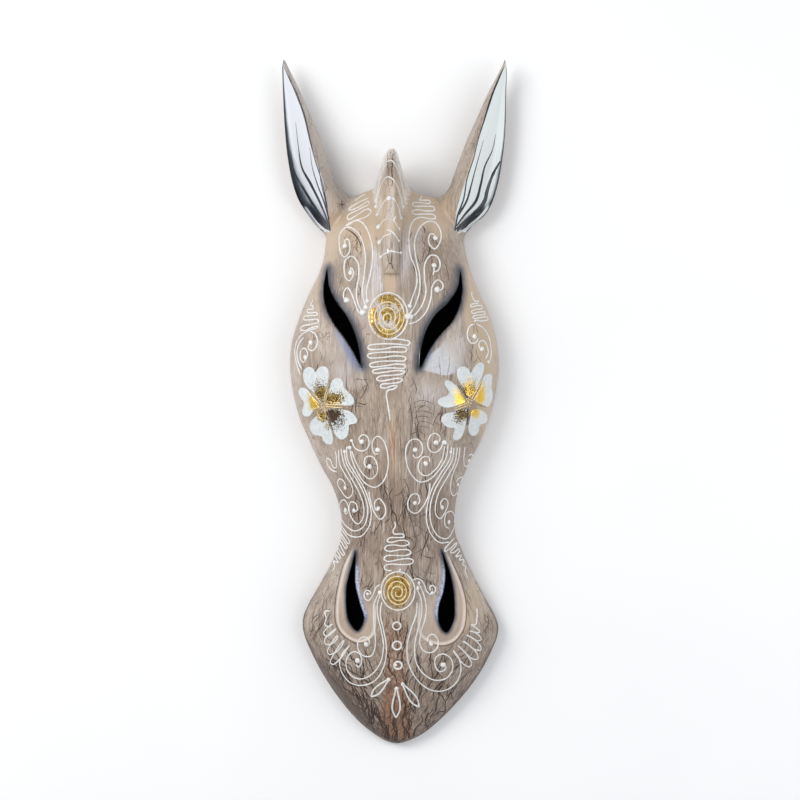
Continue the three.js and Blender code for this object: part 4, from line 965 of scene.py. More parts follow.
def lay(px, py):
    """places in the picture laid on the front, seen from the camera: points and normals in mm"""
    px, py = np.asarray(px, float).ravel(), np.asarray(py, float).ravel()
    eye_at = Vector((CAM_X, CAM_Y, CAM_H))
    P, N = np.zeros((len(px), 3)), np.zeros((len(px), 3))
    for i, (u, v) in enumerate(zip(px, py)):
        ground = Vector((CAM_X + (u - 400) * MM_PER_PX, CAM_Y + (400 - v) * MM_PER_PX, 0))
        hit, _, face, _ = tree.ray_cast(eye_at, (ground - eye_at).normalized())
        if hit is None:
            k = MM_PER_PX * (CAM_H - 14) / CAM_H
            hit, _, face, _ = tree.find_nearest(Vector((CAM_X + (u - 400) * k, CAM_Y + (400 - v) * k, 14)))
        t = _t[face]
        q = np.array(hit)
        A, B, C = verts[t]
        full = np.linalg.norm(_n[face])
        w = np.array([np.linalg.norm(np.cross(B - q, C - q)), np.linalg.norm(np.cross(C - q, A - q)), np.linalg.norm(np.cross(A - q, B - q))]) / max(full, 1e-12)
        P[i], N[i] = q, w @ vertex_n[t]
    N /= np.maximum(1e-12, np.linalg.norm(N, axis=1))[:, None]
    return P, N


PROFILE = np.array([[-1.0, -0.45], [-0.93, 0.2], [-0.62, 0.74], [0.0, 1.0], [0.62, 0.74], [0.93, 0.2], [1.0, -0.45]])


class Paint:
    """collects laid strokes and dots into one mesh"""

    def __init__(self):
        self.v, self.f, self.leaf, self.brown, self.count = [], [], [], [], 0

    def add(self, v, f, leaf=0.0, brown=0.0):
        self.v.append(v)
        self.f += [tuple(i + self.count for i in q) for q in f]
        self.leaf.append(np.broadcast_to(np.asarray(leaf, float), (len(v),)).copy())
        self.brown.append(np.broadcast_to(np.asarray(brown, float), (len(v),)).copy())
        self.count += len(v)

    def stroke(self, points, width=1.35, height=0.6, step=0.8, uneven=0.12, leaf=0.0, closed=False, widths=None, taper=(True, True), brown=0.0):
        """a raised line through picture points; width and height in mm, step in mm"""
        path = curve(points, step / MM_PER_PX, closed=closed, last=not closed)
        if widths is not None:
            s = np.r_[0, np.cumsum(np.linalg.norm(np.diff(np.array(points, float), axis=0), axis=1))]
            w = np.interp(np.linspace(0, s[-1], len(path)), s, widths)
        else:
            w = np.full(len(path), width)
        P, N = lay(path[:, 0], path[:, 1])
        n = len(P)
        if n < 3:
            return
        if closed:
            T = np.roll(P, -1, axis=0) - np.roll(P, 1, axis=0)
        else:
            T = np.gradient(P, axis=0)
        T /= np.maximum(1e-9, np.linalg.norm(T, axis=1))[:, None]
        B = np.cross(N, T)
        B /= np.maximum(1e-9, np.linalg.norm(B, axis=1))[:, None]
        U = np.cross(T, B)
        u = np.arange(n) * step
        ph = rng.uniform(0, 6.28, 3)
        w = w * (1 + uneven * (0.5 * np.sin(u / 3.1 + ph[0]) + 0.35 * np.sin(u / 1.3 + ph[1]) + 0.3 * np.sin(u / 7.7 + ph[2])))
        h = np.broadcast_to(height, w.shape) * (0.6 + 0.4 * w / np.maximum(0.2, np.max(w)))
        if not closed:
            for end, on in ((u, taper[0]), (u[::-1], taper[1])):
                k = np.sqrt(np.clip(1 - (1 - np.clip(end / 0.7, 0, 1)) ** 2, 0.05, 1)) if on else 1
                w, h = w * k, h * k
        ring = P[:, None, :] + B[:, None, :] * (PROFILE[None, :, 0:1] * w[:, None, None] / 2) + U[:, None, :] * (PROFILE[None, :, 1:2] * h[:, None, None])
        m = len(PROFILE)
        f = []
        for i in range(n if closed else n - 1):
            a, b = i * m, ((i + 1) % n) * m
            f += [(a + k, a + (k + 1) % m, b + (k + 1) % m, b + k) for k in range(m)]
        if not closed:
            f += [tuple(range(m))[::-1], tuple((n - 1) * m + k for k in range(m))]
        lf = leaf(path) if callable(leaf) else leaf
        lf = np.repeat(lf, m) if np.ndim(lf) else lf
        self.add(ring.reshape(-1, 3), f, lf, brown)

    def dot(self, px, py, r=1.5, height=None, squash=1.0, turn=0.0, leaf=0.0):
        """a round drop of paint, r in mm"""
        height = r * 0.62 if height is None else height
        P, N = lay(np.array([px]), np.array([py]))
        P, N = P[0], N[0]
        a = np.cross([0, 1, 0], N)
        a /= np.linalg.norm(a)
        b = np.cross(N, a)
        a, b = a * math.cos(turn) + b * math.sin(turn), b * math.cos(turn) - a * math.sin(turn)
        k, v, f = 14, [], []
        ph = rng.uniform(0, 6.28)
        levels = ((1.0, -0.4), (0.97, 0.22), (0.82, 0.6), (0.55, 0.87), (0.25, 0.98))
        for rr, hh in levels:
            for i in range(k):
                t = 2 * math.pi * i / k
                wob = 1 + 0.07 * math.sin(2 * t + ph) + 0.05 * math.sin(3 * t + 2 * ph)
                v.append(P + (a * math.cos(t) * r * squash + b * math.sin(t) * r) * rr * wob + N * height * hh)
        v.append(P + N * height)
        for j in range(len(levels) - 1):
            f += [(j * k + i, j * k + (i + 1) % k, (j + 1) * k + (i + 1) % k, (j + 1) * k + i) for i in range(k)]
        f += [((len(levels) - 1) * k + i, (len(levels) - 1) * k + (i + 1) % k, len(levels) * k) for i in range(k)]
        f.append(tuple(range(k))[::-1])
        self.add(np.array(v), f, leaf)

    def finish(self, name, material):
        v = np.vstack(self.v)
        ob = mesh_piece(name, v, self.f, material)
        attribute(ob, "leaf", np.concatenate(self.leaf))
        attribute(ob, "brown", np.concatenate(self.brown))
        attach(ob, "root")
        return ob


def group(name, strokes, dots, width, height=0.6, r=1.5, extra=None, material=None):
    p = Paint()
    for s in strokes:
        p.stroke(s, width, height)
    for d in dots:
        p.dot(d[0], d[1], d[2] if len(d) > 2 else r)
    if extra:
        extra(p)
    return p.finish(name, material or LINE_WHITE)


# ------------------------------------------------------------------ raised white lines, by their turning points in the picture
forehead = [
    [(366, 194), (360, 197), (355, 201)],
    [(369, 198), (358, 203), (349, 209), (351, 210), (360, 206.5), (368.5, 201.5), (369.5, 203.5), (358, 210), (347.5, 216), (348.5, 219.5), (358, 214.5), (368, 209), (371.5, 211.5), (366, 217), (354, 221), (346, 225.6), (349, 224.6), (356, 220.7), (361.5, 222), (366.5, 228), (371.4, 241.7), (372.8, 256), (370.7, 272.6), (366.5, 291), (367.2, 300)],
    [(365.8, 306.5), (362.3, 292), (364.4, 275.4), (365.5, 258.6), (363, 243), (357.3, 232), (347.5, 227), (340.6, 233), (339.3, 243), (341, 253), (344.5, 257), (349, 253), (350, 246), (348.3, 239.5), (345.3, 240), (345, 245)],
    [(362.5, 312), (358, 303.5), (356.6, 291), (358.8, 275.4), (358, 262.8), (351.7, 256.2), (345.8, 260), (344.2, 268), (345.6, 277), (349.3, 281), (352.6, 277), (353.4, 271.5), (351.3, 267.5), (350.4, 272)],
    [(363.5, 314.7), (358.8, 312), (355.2, 303.5), (351.7, 293.7), (347.5, 287.8), (344, 292), (343.7, 297), (345.6, 301)],
    [(421.5, 195.5), (420.5, 198.5), (418.8, 200.3), (423, 200.2), (430, 201), (429.5, 203.2), (420, 202.8), (412.5, 203.2), (413, 205.8), (424, 206.2), (433.4, 207), (434.6, 210), (427, 211), (417, 209.8), (411.8, 211.6), (413.5, 214), (425, 214), (434, 215), (435.5, 218.2), (431, 219), (421, 217.4), (414.6, 219.5), (410.6, 226), (408.8, 240), (410.6, 256), (416, 271), (416.7, 284), (412.5, 297), (410, 305)],
    [(409, 315.5), (414.6, 306), (419.6, 291), (419.6, 275), (416, 258.6), (414.6, 241.7), (418.9, 229), (427, 221.8), (435, 222.5), (440.6, 231), (440.6, 240), (435, 248.8), (430, 245.5), (428.6, 239), (430.4, 234), (434, 234.5), (435.3, 238)],
    [(409.5, 316.5), (413.5, 315.5), (421.7, 306), (425.9, 292), (424.5, 278), (425.2, 263), (431, 255.3), (437, 256.5), (440.2, 264), (438, 270.5), (434.6, 271.5), (433.8, 267)],
    [(434.6, 269), (433, 275)],
    [(408.8, 324), (416, 321.7), (425.2, 313.3), (430.8, 299), (432.2, 286.6), (437.5, 280), (442.6, 283.5), (442.6, 288.5), (438.5, 291)],
]
forehead_dots = [(367.3, 301, 1.7), (365.8, 307.5, 1.9), (362.8, 312.6, 2.4), (345, 246, 1.9), (350.5, 272.6, 1.9), (346.6, 300, 2.2),
                 (409.7, 306, 1.5), (407.9, 316.2, 2.5), (411, 317, 1.8), (435.3, 238, 1.9), (434, 265.3, 1.9), (437, 289.6, 2.3)]
group("forehead_lines", forehead, forehead_dots, 1.16, 0.54)

crest = [
    [(376.2, 199), (377.2, 194), (379.5, 181), (382, 171.8), (386.8, 163.8)], [(386.9, 161.7), (391.4, 160.4), (396.3, 167.3), (400.2, 179), (404.6, 197)],
    [(376.2, 205.5), (379.6, 190), (383, 181.4), (387, 177), (391.4, 178), (396.3, 184.7), (400.3, 196), (402.7, 206)],
    [(377.5, 214), (381.4, 206.5), (386.4, 199.5), (389.7, 197.8), (393.8, 199), (397.8, 206.5), (400.6, 217)],
    [(378.8, 226.5), (382.9, 221.6), (387, 218.3)], [(396.3, 215.8), (394, 220.2), (396.4, 224.8), (399, 228.8)],
    [(380.1, 241.2), (384.7, 236), (391.4, 233.8)], [(386.8, 229.8), (392, 231.8), (395.6, 236), (398.2, 240)],
    [(380.4, 257.2), (383.4, 254.6), (386.6, 253.1), (389.6, 252.7)], [(386.9, 248.6), (388.6, 250.8), (392.6, 251.3), (400.6, 253)], [(405.6, 183), (403.2, 172)],
]
crest_dots = [(376, 200, 1.6), (376, 206.6, 1.6), (377.3, 214.8, 1.3), (378.5, 227, 1.9), (379.8, 242, 1.9), (381, 257, 1.3), (405, 198.6, 1.3), (405.6, 190.5, 1.1), (403, 206.8, 1.5), (400.8, 217.6, 1.5), (399.2, 228.7, 1.2), (398.4, 240.7, 1.2), (389, 198.4, 1.8), (388.4, 251.4, 1.3), (400.8, 252.8, 1.2)]
group("crest_lines", crest[:-1], crest_dots, 1.12, 0.48)

cheek_left = [
    [(313, 299), (312.4, 302), (310.5, 304.6), (313.4, 306.6), (313, 309), (308, 309.8), (307.4, 312.4), (312, 313), (316.6, 312.6), (317.4, 315), (311, 315.6), (304.6, 316.6), (304, 319.6), (311, 319.8), (317.6, 319.4), (318.4, 322.2), (311, 324.4), (302.5, 326.4), (300.4, 329.4), (305, 330.6), (311, 328), (318, 326.4), (316.4, 328.6)],
    [(316, 328.4), (309.6, 330.2), (301.5, 335), (297, 341.5), (295, 351), (296.6, 363), (300.5, 375)],
    [(309.6, 331), (314.4, 333.2), (317.4, 339), (316.6, 346), (312.2, 350.8), (308.4, 348.6), (308.6, 344)],
    [(304, 337.5), (299.6, 343), (297, 353), (298.8, 362.6), (302, 369.4)],
    [(301, 350), (304.5, 348.2), (307.4, 352), (306.8, 358), (303.4, 362.4), (300.6, 359), (300.4, 353.6), (301, 350)],
]
group("cheek_lines_left", cheek_left, [(310.8, 342.6, 1.9), (305.4, 357.4, 1.9)], 1.15, 0.5)
cheek_right = [
    [(472, 291.5), (471.6, 295), (473.2, 298.6), (475, 301.4), (478.6, 300.4), (477.6, 303), (471.2, 304.6), (470.8, 307), (477, 305.6), (482, 306), (481.6, 308.6), (475, 309.6), (471.4, 311.6), (473, 313.4), (479, 312), (484.6, 312), (484.6, 314.4), (478, 315), (473, 316.6), (474, 318.6), (481, 317.4), (487.4, 317.4), (487.6, 319.6), (481, 321), (476, 320.4), (473.8, 322)],
    [(476, 323.4), (484, 329), (489, 338), (491, 350), (490.4, 358), (489, 362)],
    [(475, 323.8), (470, 326), (467.4, 333), (468.6, 340), (472.8, 343.4), (477, 341.4), (478, 337.6)],
    [(480.4, 349.6), (478.8, 345), (480.4, 341), (484, 341.2), (487, 346), (488, 352.6), (485.6, 359)],
]
group("cheek_lines_right", cheek_right, [(474.4, 336.4, 1.9), (481.8, 349, 1.9), (488.4, 362, 1.3)], 1.15, 0.5)

neck_left = [
    [(351.6, 440.6), (355, 448), (361, 451), (366.5, 449.4), (369.2, 443.4), (367.2, 436.6), (363, 434.8), (359.2, 437.8), (359.4, 441.6)],
    [(349.5, 447), (352.4, 460.7), (358, 473), (365, 483), (374.8, 487.3), (383, 481.7), (387.8, 469), (387.4, 452), (383, 440), (377.5, 436.3), (373, 440.5), (372.4, 448), (375.2, 454.2), (378.8, 453.5)],
    [(351.6, 451), (356.6, 463.5), (363.6, 474.7), (370.6, 479), (376.4, 474.5), (377.4, 465.5), (372.8, 457), (366.6, 456.8), (364.2, 462.5), (366.6, 468)],
    [(346.7, 446), (347.4, 459), (355, 473), (363.6, 487), (369, 501), (371.3, 514), (369, 526.6), (360.8, 536.4), (349.5, 535.5), (342.5, 527)],
    [(344, 449.4), (346.7, 463.5), (358, 481.7), (365.7, 498.6), (367.8, 512.6), (363.6, 526.6), (355, 531), (345.3, 525), (340.4, 514), (340.2, 503), (343.6, 499.8), (347.4, 503.4), (348.4, 511), (346, 514), (343.8, 510)],
    [(341, 448.6), (344, 463.5), (352.4, 480), (359.4, 493), (363.6, 505.6), (363, 518), (358, 524), (352, 518.5), (349.3, 508.4), (351, 502), (355.5, 503.2), (357.5, 509.5), (355.5, 512)],
    [(338.6, 449.4), (339.7, 463.5), (345.3, 474.7), (352, 486), (352.4, 494), (348, 498), (341.6, 491.5), (337.6, 482.5), (339.8, 478.8), (344, 481.5), (345.8, 486.5)],
    [(335.5, 451), (336.6, 459), (336, 468), (333.2, 466.6), (330, 459.6), (327, 458.6), (328, 465), (332.4, 470.5), (337, 472)],
    [(369, 491.5), (370.4, 500), (374.6, 513), (380.6, 519.4), (385.6, 513), (384, 504), (379, 498.6), (375, 502), (375.2, 508.5), (377.4, 511)],
    [(343.2, 525), (341.4, 528.5), (345, 534), (349.8, 542.5), (348.6, 544), (344.2, 538), (340.6, 532.8), (340.2, 535), (344.6, 542), (347.4, 547.6), (346, 548.6), (341.4, 542), (339, 538.6), (338.6, 541), (342, 548.6), (344.6, 554.6), (343.2, 555.4), (339.2, 549.6), (336.8, 546.4), (336.8, 549.6), (340, 556), (340.4, 559.2), (337.4, 556.4), (335, 553.4), (336.4, 558.8), (338.4, 562.8), (335.4, 561.6), (333.2, 560.8), (334.8, 565.6), (332.6, 571.4)],
]
neck_left_dots = [(361.6, 441.8, 1.9), (377.6, 450, 1.9), (369.6, 466.6, 1.9), (345.8, 510, 1.7), (354.2, 510.6, 1.7), (345.3, 488, 1.6), (378.3, 508.6, 1.7), (351.6, 440.6, 1.2), (349.6, 447.6, 1.5), (344.6, 451.6, 1.3)]
group("neck_lines_left", neck_left, neck_left_dots, 1.02, 0.45)
neck_right = [
    [(443.4, 441), (440.6, 448.6), (434.6, 452.6), (429.4, 450), (427.8, 443), (430.6, 435.6), (435.4, 433.4), (439.8, 437), (439.6, 442.4)],
    [(448, 443.5), (446.6, 456.5), (438.5, 470.5), (428.7, 480), (419, 481.7), (410.4, 473), (406, 459), (406.8, 446), (412, 439.6), (418.5, 440), (422.6, 447), (421, 455), (416, 458), (412.6, 454.5)],
    [(444.8, 446), (442.6, 457.5), (436, 469), (426, 475.8), (419.4, 472), (418.6, 463.5), (423.6, 456.8), (429, 457.5), (429.8, 462.5)],
    [(451.8, 446.6), (449.7, 459), (440, 474.7), (431.5, 490), (427.3, 505.6), (426.6, 521), (431.5, 535), (440, 542.6), (449.4, 542)],
    [(454, 447.4), (451.8, 460.7), (442.7, 476), (434.3, 491.5), (430, 508.4), (431.5, 525), (438.5, 536.4), (447, 538.5), (452.5, 531), (454.8, 519.6), (452, 511.6), (447.2, 512.4), (444.4, 519), (445.6, 526.5), (449, 528.5)],
    [(457.4, 447.3), (454.6, 463.5), (447, 477.5), (438.5, 493), (435.4, 505.6), (436, 515), (440, 518.6), (445.6, 511), (447.8, 502.5), (445, 498.6), (441, 501.6), (440.6, 506.5)],
    [(460, 447.3), (458, 460.7), (452.5, 474.7), (450.4, 488.7), (453, 495.8), (458, 491.5), (462.6, 482.7), (462.6, 477.6), (458.6, 478), (456, 482.6)],
    [(465, 446.6), (463.7, 459), (465, 466.4), (469, 465), (472.8, 458), (471.8, 454.2), (468.6, 456)],
    [(430, 483), (428.7, 494.4), (423, 506.6), (416, 513.3), (409.6, 510.6), (407.8, 502.4), (412, 494.6), (417.4, 494.4), (419.8, 500.6), (417.6, 505)],
    [(454.5, 537.6), (450.6, 542), (445.6, 548), (444.4, 551.4), (449.6, 549), (455.4, 543.4), (457, 542.6), (455, 546.6), (450, 552.4), (453.6, 552.6), (458.6, 549), (459.4, 551), (455.4, 557), (459.4, 555.6), (461.4, 555.4), (459, 560), (462.6, 559.6), (464, 560.6), (462.4, 564.6), (465.4, 566.4), (465, 570.6), (467.6, 578)],
]
neck_right_dots = [(436, 442.6, 1.9), (415, 449.8, 1.9), (425.6, 463.6, 1.9), (448.6, 522, 1.7), (442, 507.4, 1.7), (457.6, 484.4, 1.6), (468.6, 460.4, 1.5), (414.8, 503, 1.7), (444.4, 442.6, 1.9), (450.8, 452, 1.3)]
group("neck_lines_right", neck_right, neck_right_dots, 1.02, 0.45)

muzzle = [
    [(394.8, 521.6), (395.4, 526), (393, 531.4), (394.4, 534), (399, 534), (403.4, 534.4), (404, 537), (398, 537.6), (389.6, 538), (387, 541), (391, 542.4), (400, 540.4), (407, 541), (409.2, 543.6), (404, 546), (394, 545), (386.6, 546), (384.6, 549), (389, 551.4), (400, 549.8), (409, 550.2), (411, 553), (405, 555.6), (394, 555.4), (386.4, 556), (384, 559), (387.6, 561.4), (399, 559.6), (410, 558.8), (413.4, 561), (410.6, 564), (400, 564.6), (391, 564.2), (385.2, 565.6), (384.4, 568.6), (388, 570.6), (392, 570.4)],
    [(412.5, 580.4), (417, 578.6), (421, 580), (424.4, 585), (426.6, 591), (430.4, 594.4), (434.4, 592.6), (435.2, 588.4), (432.4, 585.4), (429.6, 587.6), (430.6, 591)],
    [(380.3, 584.6), (377, 586.4), (374.6, 591), (372.6, 596), (369, 600.4), (365.4, 599.2), (364.2, 594.4), (366.6, 590.4), (370, 591.6), (371, 595)],
    [(378.6, 593.6), (374, 605), (373.4, 617), (375, 632.5), (375, 648), (371, 656), (363.5, 655.8), (358, 648.6), (358.6, 640.6), (363.4, 637), (368.6, 639), (369.4, 644.4)],
    [(380.3, 594.6), (377.3, 605), (378, 617), (381.8, 632.5), (383.4, 648), (380.3, 663), (371, 675), (359.5, 679), (349.8, 674), (346, 664), (348.6, 655.4), (354.8, 651.6), (360.4, 655), (361.4, 663), (358.6, 667), (355.6, 664.4)],
    [(381.8, 602), (380.3, 614), (383.4, 629.4), (386.4, 648), (384, 666), (375.7, 680), (363.5, 685.3), (351, 683), (342.8, 674), (339.7, 663), (343.2, 652.4), (349, 646), (349.4, 645), (347, 649.4), (340, 659), (333.4, 664.4), (330.4, 662.4), (333.4, 655), (340, 644.6), (344, 640.4), (342, 645.4), (335.6, 652.4), (329.4, 654.4), (327.6, 651.4), (331.4, 643.4), (337.6, 635.6), (337, 639), (330.8, 644.4), (325.4, 643.6), (324.8, 640), (330, 633.4), (336.2, 628.6), (333, 632.4), (327, 636.2), (323.6, 633.4), (327.4, 628), (333, 623.6), (328.6, 626.6), (325, 624.6), (326.2, 618.4), (325, 611.4), (330, 611)],
    [(418.6, 583.5), (423, 592.7), (426, 605), (425.5, 617), (421, 632.5), (420, 644.7), (424.7, 651.6), (432, 652.4), (437.6, 647), (437.6, 639), (432.6, 634.4), (428, 637), (427.4, 642)],
    [(416.3, 588), (421, 599), (421.6, 614), (417.8, 629.4), (414.8, 644.7), (415.5, 660), (421.6, 672), (434, 680), (446, 678.4), (452.6, 669), (450.7, 658.5), (443, 654), (436, 657.4), (435, 665), (439.4, 671.6), (445, 669.6), (446, 665.6)],
    [(417, 602), (416.3, 614), (411, 629.4), (407, 648), (409.4, 666), (418.6, 681.4), (430.8, 690), (443, 690.8), (454.5, 684.5), (460.6, 672), (459, 658.5), (454.6, 652), (453, 650.4), (456, 655), (463.4, 664), (469.6, 666.8), (471.6, 663.6), (466.6, 654.6), (459, 646.4), (457.6, 645.4), (463.4, 650.6), (471.4, 658.4), (477.4, 659), (477.6, 655), (470.6, 646.6), (462.6, 641), (466, 642.6), (474.4, 649.4), (480.6, 650), (480.4, 646), (473, 638.6), (466.6, 635), (471.4, 637.4), (477.6, 640.8), (481.2, 639.4), (477.4, 634), (469.6, 630.6), (475.4, 632.4), (480, 632), (476, 627.6), (471, 624.6), (475.6, 624.6), (477, 617), (476.8, 608)],
]
muzzle_dots = [(379.6, 592.6, 1.6), (366.3, 644.4, 1.9), (357.4, 660.6, 2.0), (431, 643.6, 1.9), (443.2, 664.8, 2.1), (417.6, 588.4, 1.6), (419, 583, 1.2), (400, 570, 0.9), (367.8, 594, 1.3), (432, 593, 1.4)]


def muzzle_extra(p):
    for cx, cy, r, w in ((396.7, 626, 4.0, 1.35), (397, 645.5, 4.4, 1.35), (398, 665.4, 3.9, 1.5)):
        p.stroke([(cx + r * math.cos(a), cy + 0.95 * r * math.sin(a)) for a in np.linspace(0, 2 * math.pi, 9)[:-1] + 0.4], w, 0.5, step=0.6, closed=True)
    p.dot(395.6, 665, 1.2)
    for (ax, ay), (bx, by), wide in (((390, 678), (371.4, 696.6), 3.4), ((396.6, 686.4), (396, 717.4), 4.0), ((401.6, 682.6), (418.8, 706.8), 3.6)):
        d = np.array([bx - ax, by - ay])
        ln = np.hypot(*d)
        d /= ln
        q = np.array([-d[1], d[0]])
        pts_ = [np.array([ax, ay]) + d * ln * t + q * s * wide * (math.sin(math.pi * min(1, t * 1.02) ** 1.7) ** 0.75) for t, s in
                ((0.02, 0), (0.25, 1), (0.5, 1), (0.75, 1), (0.93, 1), (1.0, 0), (0.93, -1), (0.75, -1), (0.5, -1), (0.25, -1))]
        p.stroke([tuple(v) for v in pts_], 1.3, 0.5, step=0.7, closed=True)
        p.dot(ax + d[0] * 2, ay + d[1] * 2, 1.5)


group("muzzle_lines", muzzle, muzzle_dots, 1.05, 0.46, extra=muzzle_extra)

# zigzag below the upper disc, narrowing to a tail
zig = [(389.6, 339.4), (396, 339), (404, 340), (410, 342), (408.4, 345), (398, 344.2), (380, 344), (368.6, 346), (368.2, 348.6), (380, 349.4), (396, 347), (406.4, 348.4), (406, 351.4), (392, 352), (376, 352.8), (367.6, 355), (369, 357.6), (382, 357.6), (396, 356), (405.6, 357.6), (405, 360.4), (392, 361), (378, 361.8), (369.8, 364.4), (371, 366.8), (384, 366), (397, 364.2), (405.6, 365.4), (404.6, 368), (392, 368), (380, 368.8), (372.6, 371), (374, 373), (386, 372), (398, 370.6), (404.8, 371.6), (402, 374), (390, 375.4), (380, 376.4), (376.6, 379), (380, 381), (390, 379.6), (398, 378.4), (402.6, 379.6), (400, 382), (390, 383.6), (381.4, 384.6), (380.4, 387), (385, 388.2), (392, 386), (397.2, 385.8), (394, 389), (388, 390.4), (386.4, 394), (387.4, 402), (389, 412), (390.2, 421)]


def disc(p, q_, cx, cy, rx, ry, turns, inner, leaf_at, start=0.0, width=1.15):
    """a spiral laid from its outer ring inwards"""
    outer = [(cx + rx * math.cos(a), cy + ry * math.sin(a)) for a in np.linspace(0, 2 * math.pi, 25)[:-1]]
    p.stroke(outer, width * 1.05, 0.5, step=0.7, closed=True, leaf=leaf_at, uneven=0.08)
    t = np.linspace(0, 1, int(turns * 14))
    a = start + t * turns * 2 * math.pi
    k = 1 - t * (1 - inner)
    kx = 0.86 * k
    path = [(cx + rx * q * math.cos(b), cy + 0.6 * (1 - q) * ry * 0.2 + ry * q * math.sin(b)) for q, b in zip(kx, a)]
    q_.stroke(path, width * 0.92, 0.45, step=0.7, leaf=0.22, uneven=0.14)


def leaf_px(spots):
    def f(path):
        v = np.zeros(len(path))
        for px, py, rx, ry, w in spots:
            v = np.maximum(v, w * np.exp(-((path[:, 0] - px) / rx) ** 2 - ((path[:, 1] - py) / ry) ** 2))
        return v
    return f


discs, spirals = Paint(), Paint()
disc(discs, spirals, D1[0], D1[1], 19.4, 23.2, 3.3, 0.14, leaf_px(((372, 317, 8, 13, 0.72), (388, 301, 12, 8, 0.8), (386, 332, 12, 8, 0.8), (401, 322, 7, 11, 0.7), (388.6, 315, 11, 13, 0.9))), start=-1.2)
disc(discs, spirals, D2[0], D2[1], 16.8, 19.2, 3.2, 0.14, leaf_px(((397.5, 590, 13, 17, 0.95),)), start=2.6, width=1.05)
discs.stroke(zig, 1.25, 0.55)
discs.finish("disc_lines", LINE_WHITE)
spirals.finish("disc_spirals", SPIRAL_CREAM)


# ------------------------------------------------------------------ flowers: thick heart-shaped petals
def petal(p, loop, spots, brown):
    ring = curve(loop, 0.5 / MM_PER_PX, closed=True)
    mid = np.mean(ring, axis=0)
    levels = ((1.0, -0.25), (0.988, 0.30), (0.955, 0.62), (0.915, 0.66), (0.86, 0.55), (0.78, 0.48), (0.68, 0.46), (0.57, 0.46), (0.46, 0.46), (0.34, 0.46), (0.22, 0.46), (0.1, 0.46))
    k = len(ring)
    allp = np.vstack([mid + (ring - mid) * q for q, _ in levels] + [mid[None]])
    hs = np.r_[np.repeat([h for _, h in levels], k), 0.46]
    P, N = lay(allp[:, 0], allp[:, 1])
    hs = hs + np.where(hs > 0.3, 0.05 * wobble(allp[:, 0], allp[:, 1], 4, 31), 0)
    f = []
    for j in range(len(levels) - 1):
        f += [(j * k + i, j * k + (i + 1) % k, (j + 1) * k + (i + 1) % k, (j + 1) * k + i) for i in range(k)]
    f += [((len(levels) - 1) * k + i, (len(levels) - 1) * k + (i + 1) % k, len(levels) * k) for i in range(k)]
    f.append(tuple(range(k))[::-1])
    v = np.zeros(len(allp))
    for px, py, rx, ry, w in spots:
        v = np.maximum(v, w * np.exp(-(((allp[:, 0] - px) / (1.12 * rx)) ** 2 + ((allp[:, 1] - py) / (1.12 * ry)) ** 2) ** 1.1))
    area_ = 0.5 * (ring[:, 0] * np.roll(ring[:, 1], -1) - np.roll(ring[:, 0], -1) * ring[:, 1]).sum()
    if area_ > 0:  # picture pixels run downwards
        f = [q_[::-1] for q_ in f]
    p.add(P + N * hs[:, None], f, v, brown)


left_flower = Paint()
for loop, spots, brown in (
    ([(322.6, 403), (317.4, 397.5), (312.4, 391.6), (307.9, 387.5), (304.4, 381.7), (303.2, 374.6), (304.6, 369.3), (309.1, 366.8), (313.2, 368.4), (315.5, 371.7), (318.8, 367.8), (323.1, 366.1), (327.6, 368.2), (329.1, 373.5), (328.6, 379.9), (327.2, 386.9), (325.6, 394), (324.2, 400)],
     ((321.4, 393.5, 8, 9, 1.05), (319, 386, 8, 8, 0.55)), 0.68),
    ([(326.6, 402.4), (327.9, 396.3), (329.6, 389.3), (330.9, 383.4), (333.1, 379.5), (336.8, 377.8), (341.1, 378.8), (343.4, 382.3), (344, 386.4), (347.2, 390.5), (351.7, 395.2), (354.3, 399.9), (354.0, 403.8), (350.5, 405.8), (344.9, 405.3), (337.8, 404.3), (331, 403.8)],
     ((332.6, 398.6, 11, 6.5, 1.05), (338, 396, 8, 6, 0.7)), 0.64),
    ([(328.2, 409.6), (334.3, 409), (341.3, 409.3), (348.4, 410.6), (353.7, 414), (357.6, 419.8), (356.6, 423.1), (353.1, 423.9), (349.5, 425.3), (349.1, 430.4), (347.6, 436), (343.7, 439.6), (340.2, 439.6), (336.3, 436.2), (333.4, 430.4), (331.1, 422.2), (329, 415.1)],
     ((333, 414.6, 9.5, 8, 1.1), (338, 421, 9, 10, 0.62)), 0.98),
    ([(324.4, 411), (320.2, 412.8), (316.1, 416.3), (311.4, 421), (309.9, 425.7), (310.9, 430.8), (314.3, 434.8), (319, 435.7), (322.1, 436.6), (323.9, 440.9), (327.3, 444.3), (331.7, 444.6), (333.4, 439.8), (332.2, 432.7), (329.9, 425.7), (327, 418.6), (325.8, 413.4)],
     ((323.6, 415, 7, 6.5, 0.95), (327.6, 424, 3.4, 9, 0.52)), 0.56),
    ([(320.2, 407.8), (316.7, 402.9), (313.2, 397.2), (310.2, 392.6), (306.7, 388.7), (302.6, 387.4), (299.5, 388.9), (298.9, 392.2), (301.4, 397.5), (304.3, 402.2), (303.8, 406.9), (302.6, 411.6), (303.9, 415.5), (307.3, 416.9), (310.8, 415.5), (313.4, 411.6), (316.9, 409)],
     ((315, 402, 5.4, 8, 1.2), (311.6, 398, 4.4, 7, 0.7)), -1.0),
):
    petal(left_flower, loop, spots, brown)
right_flower = Paint()
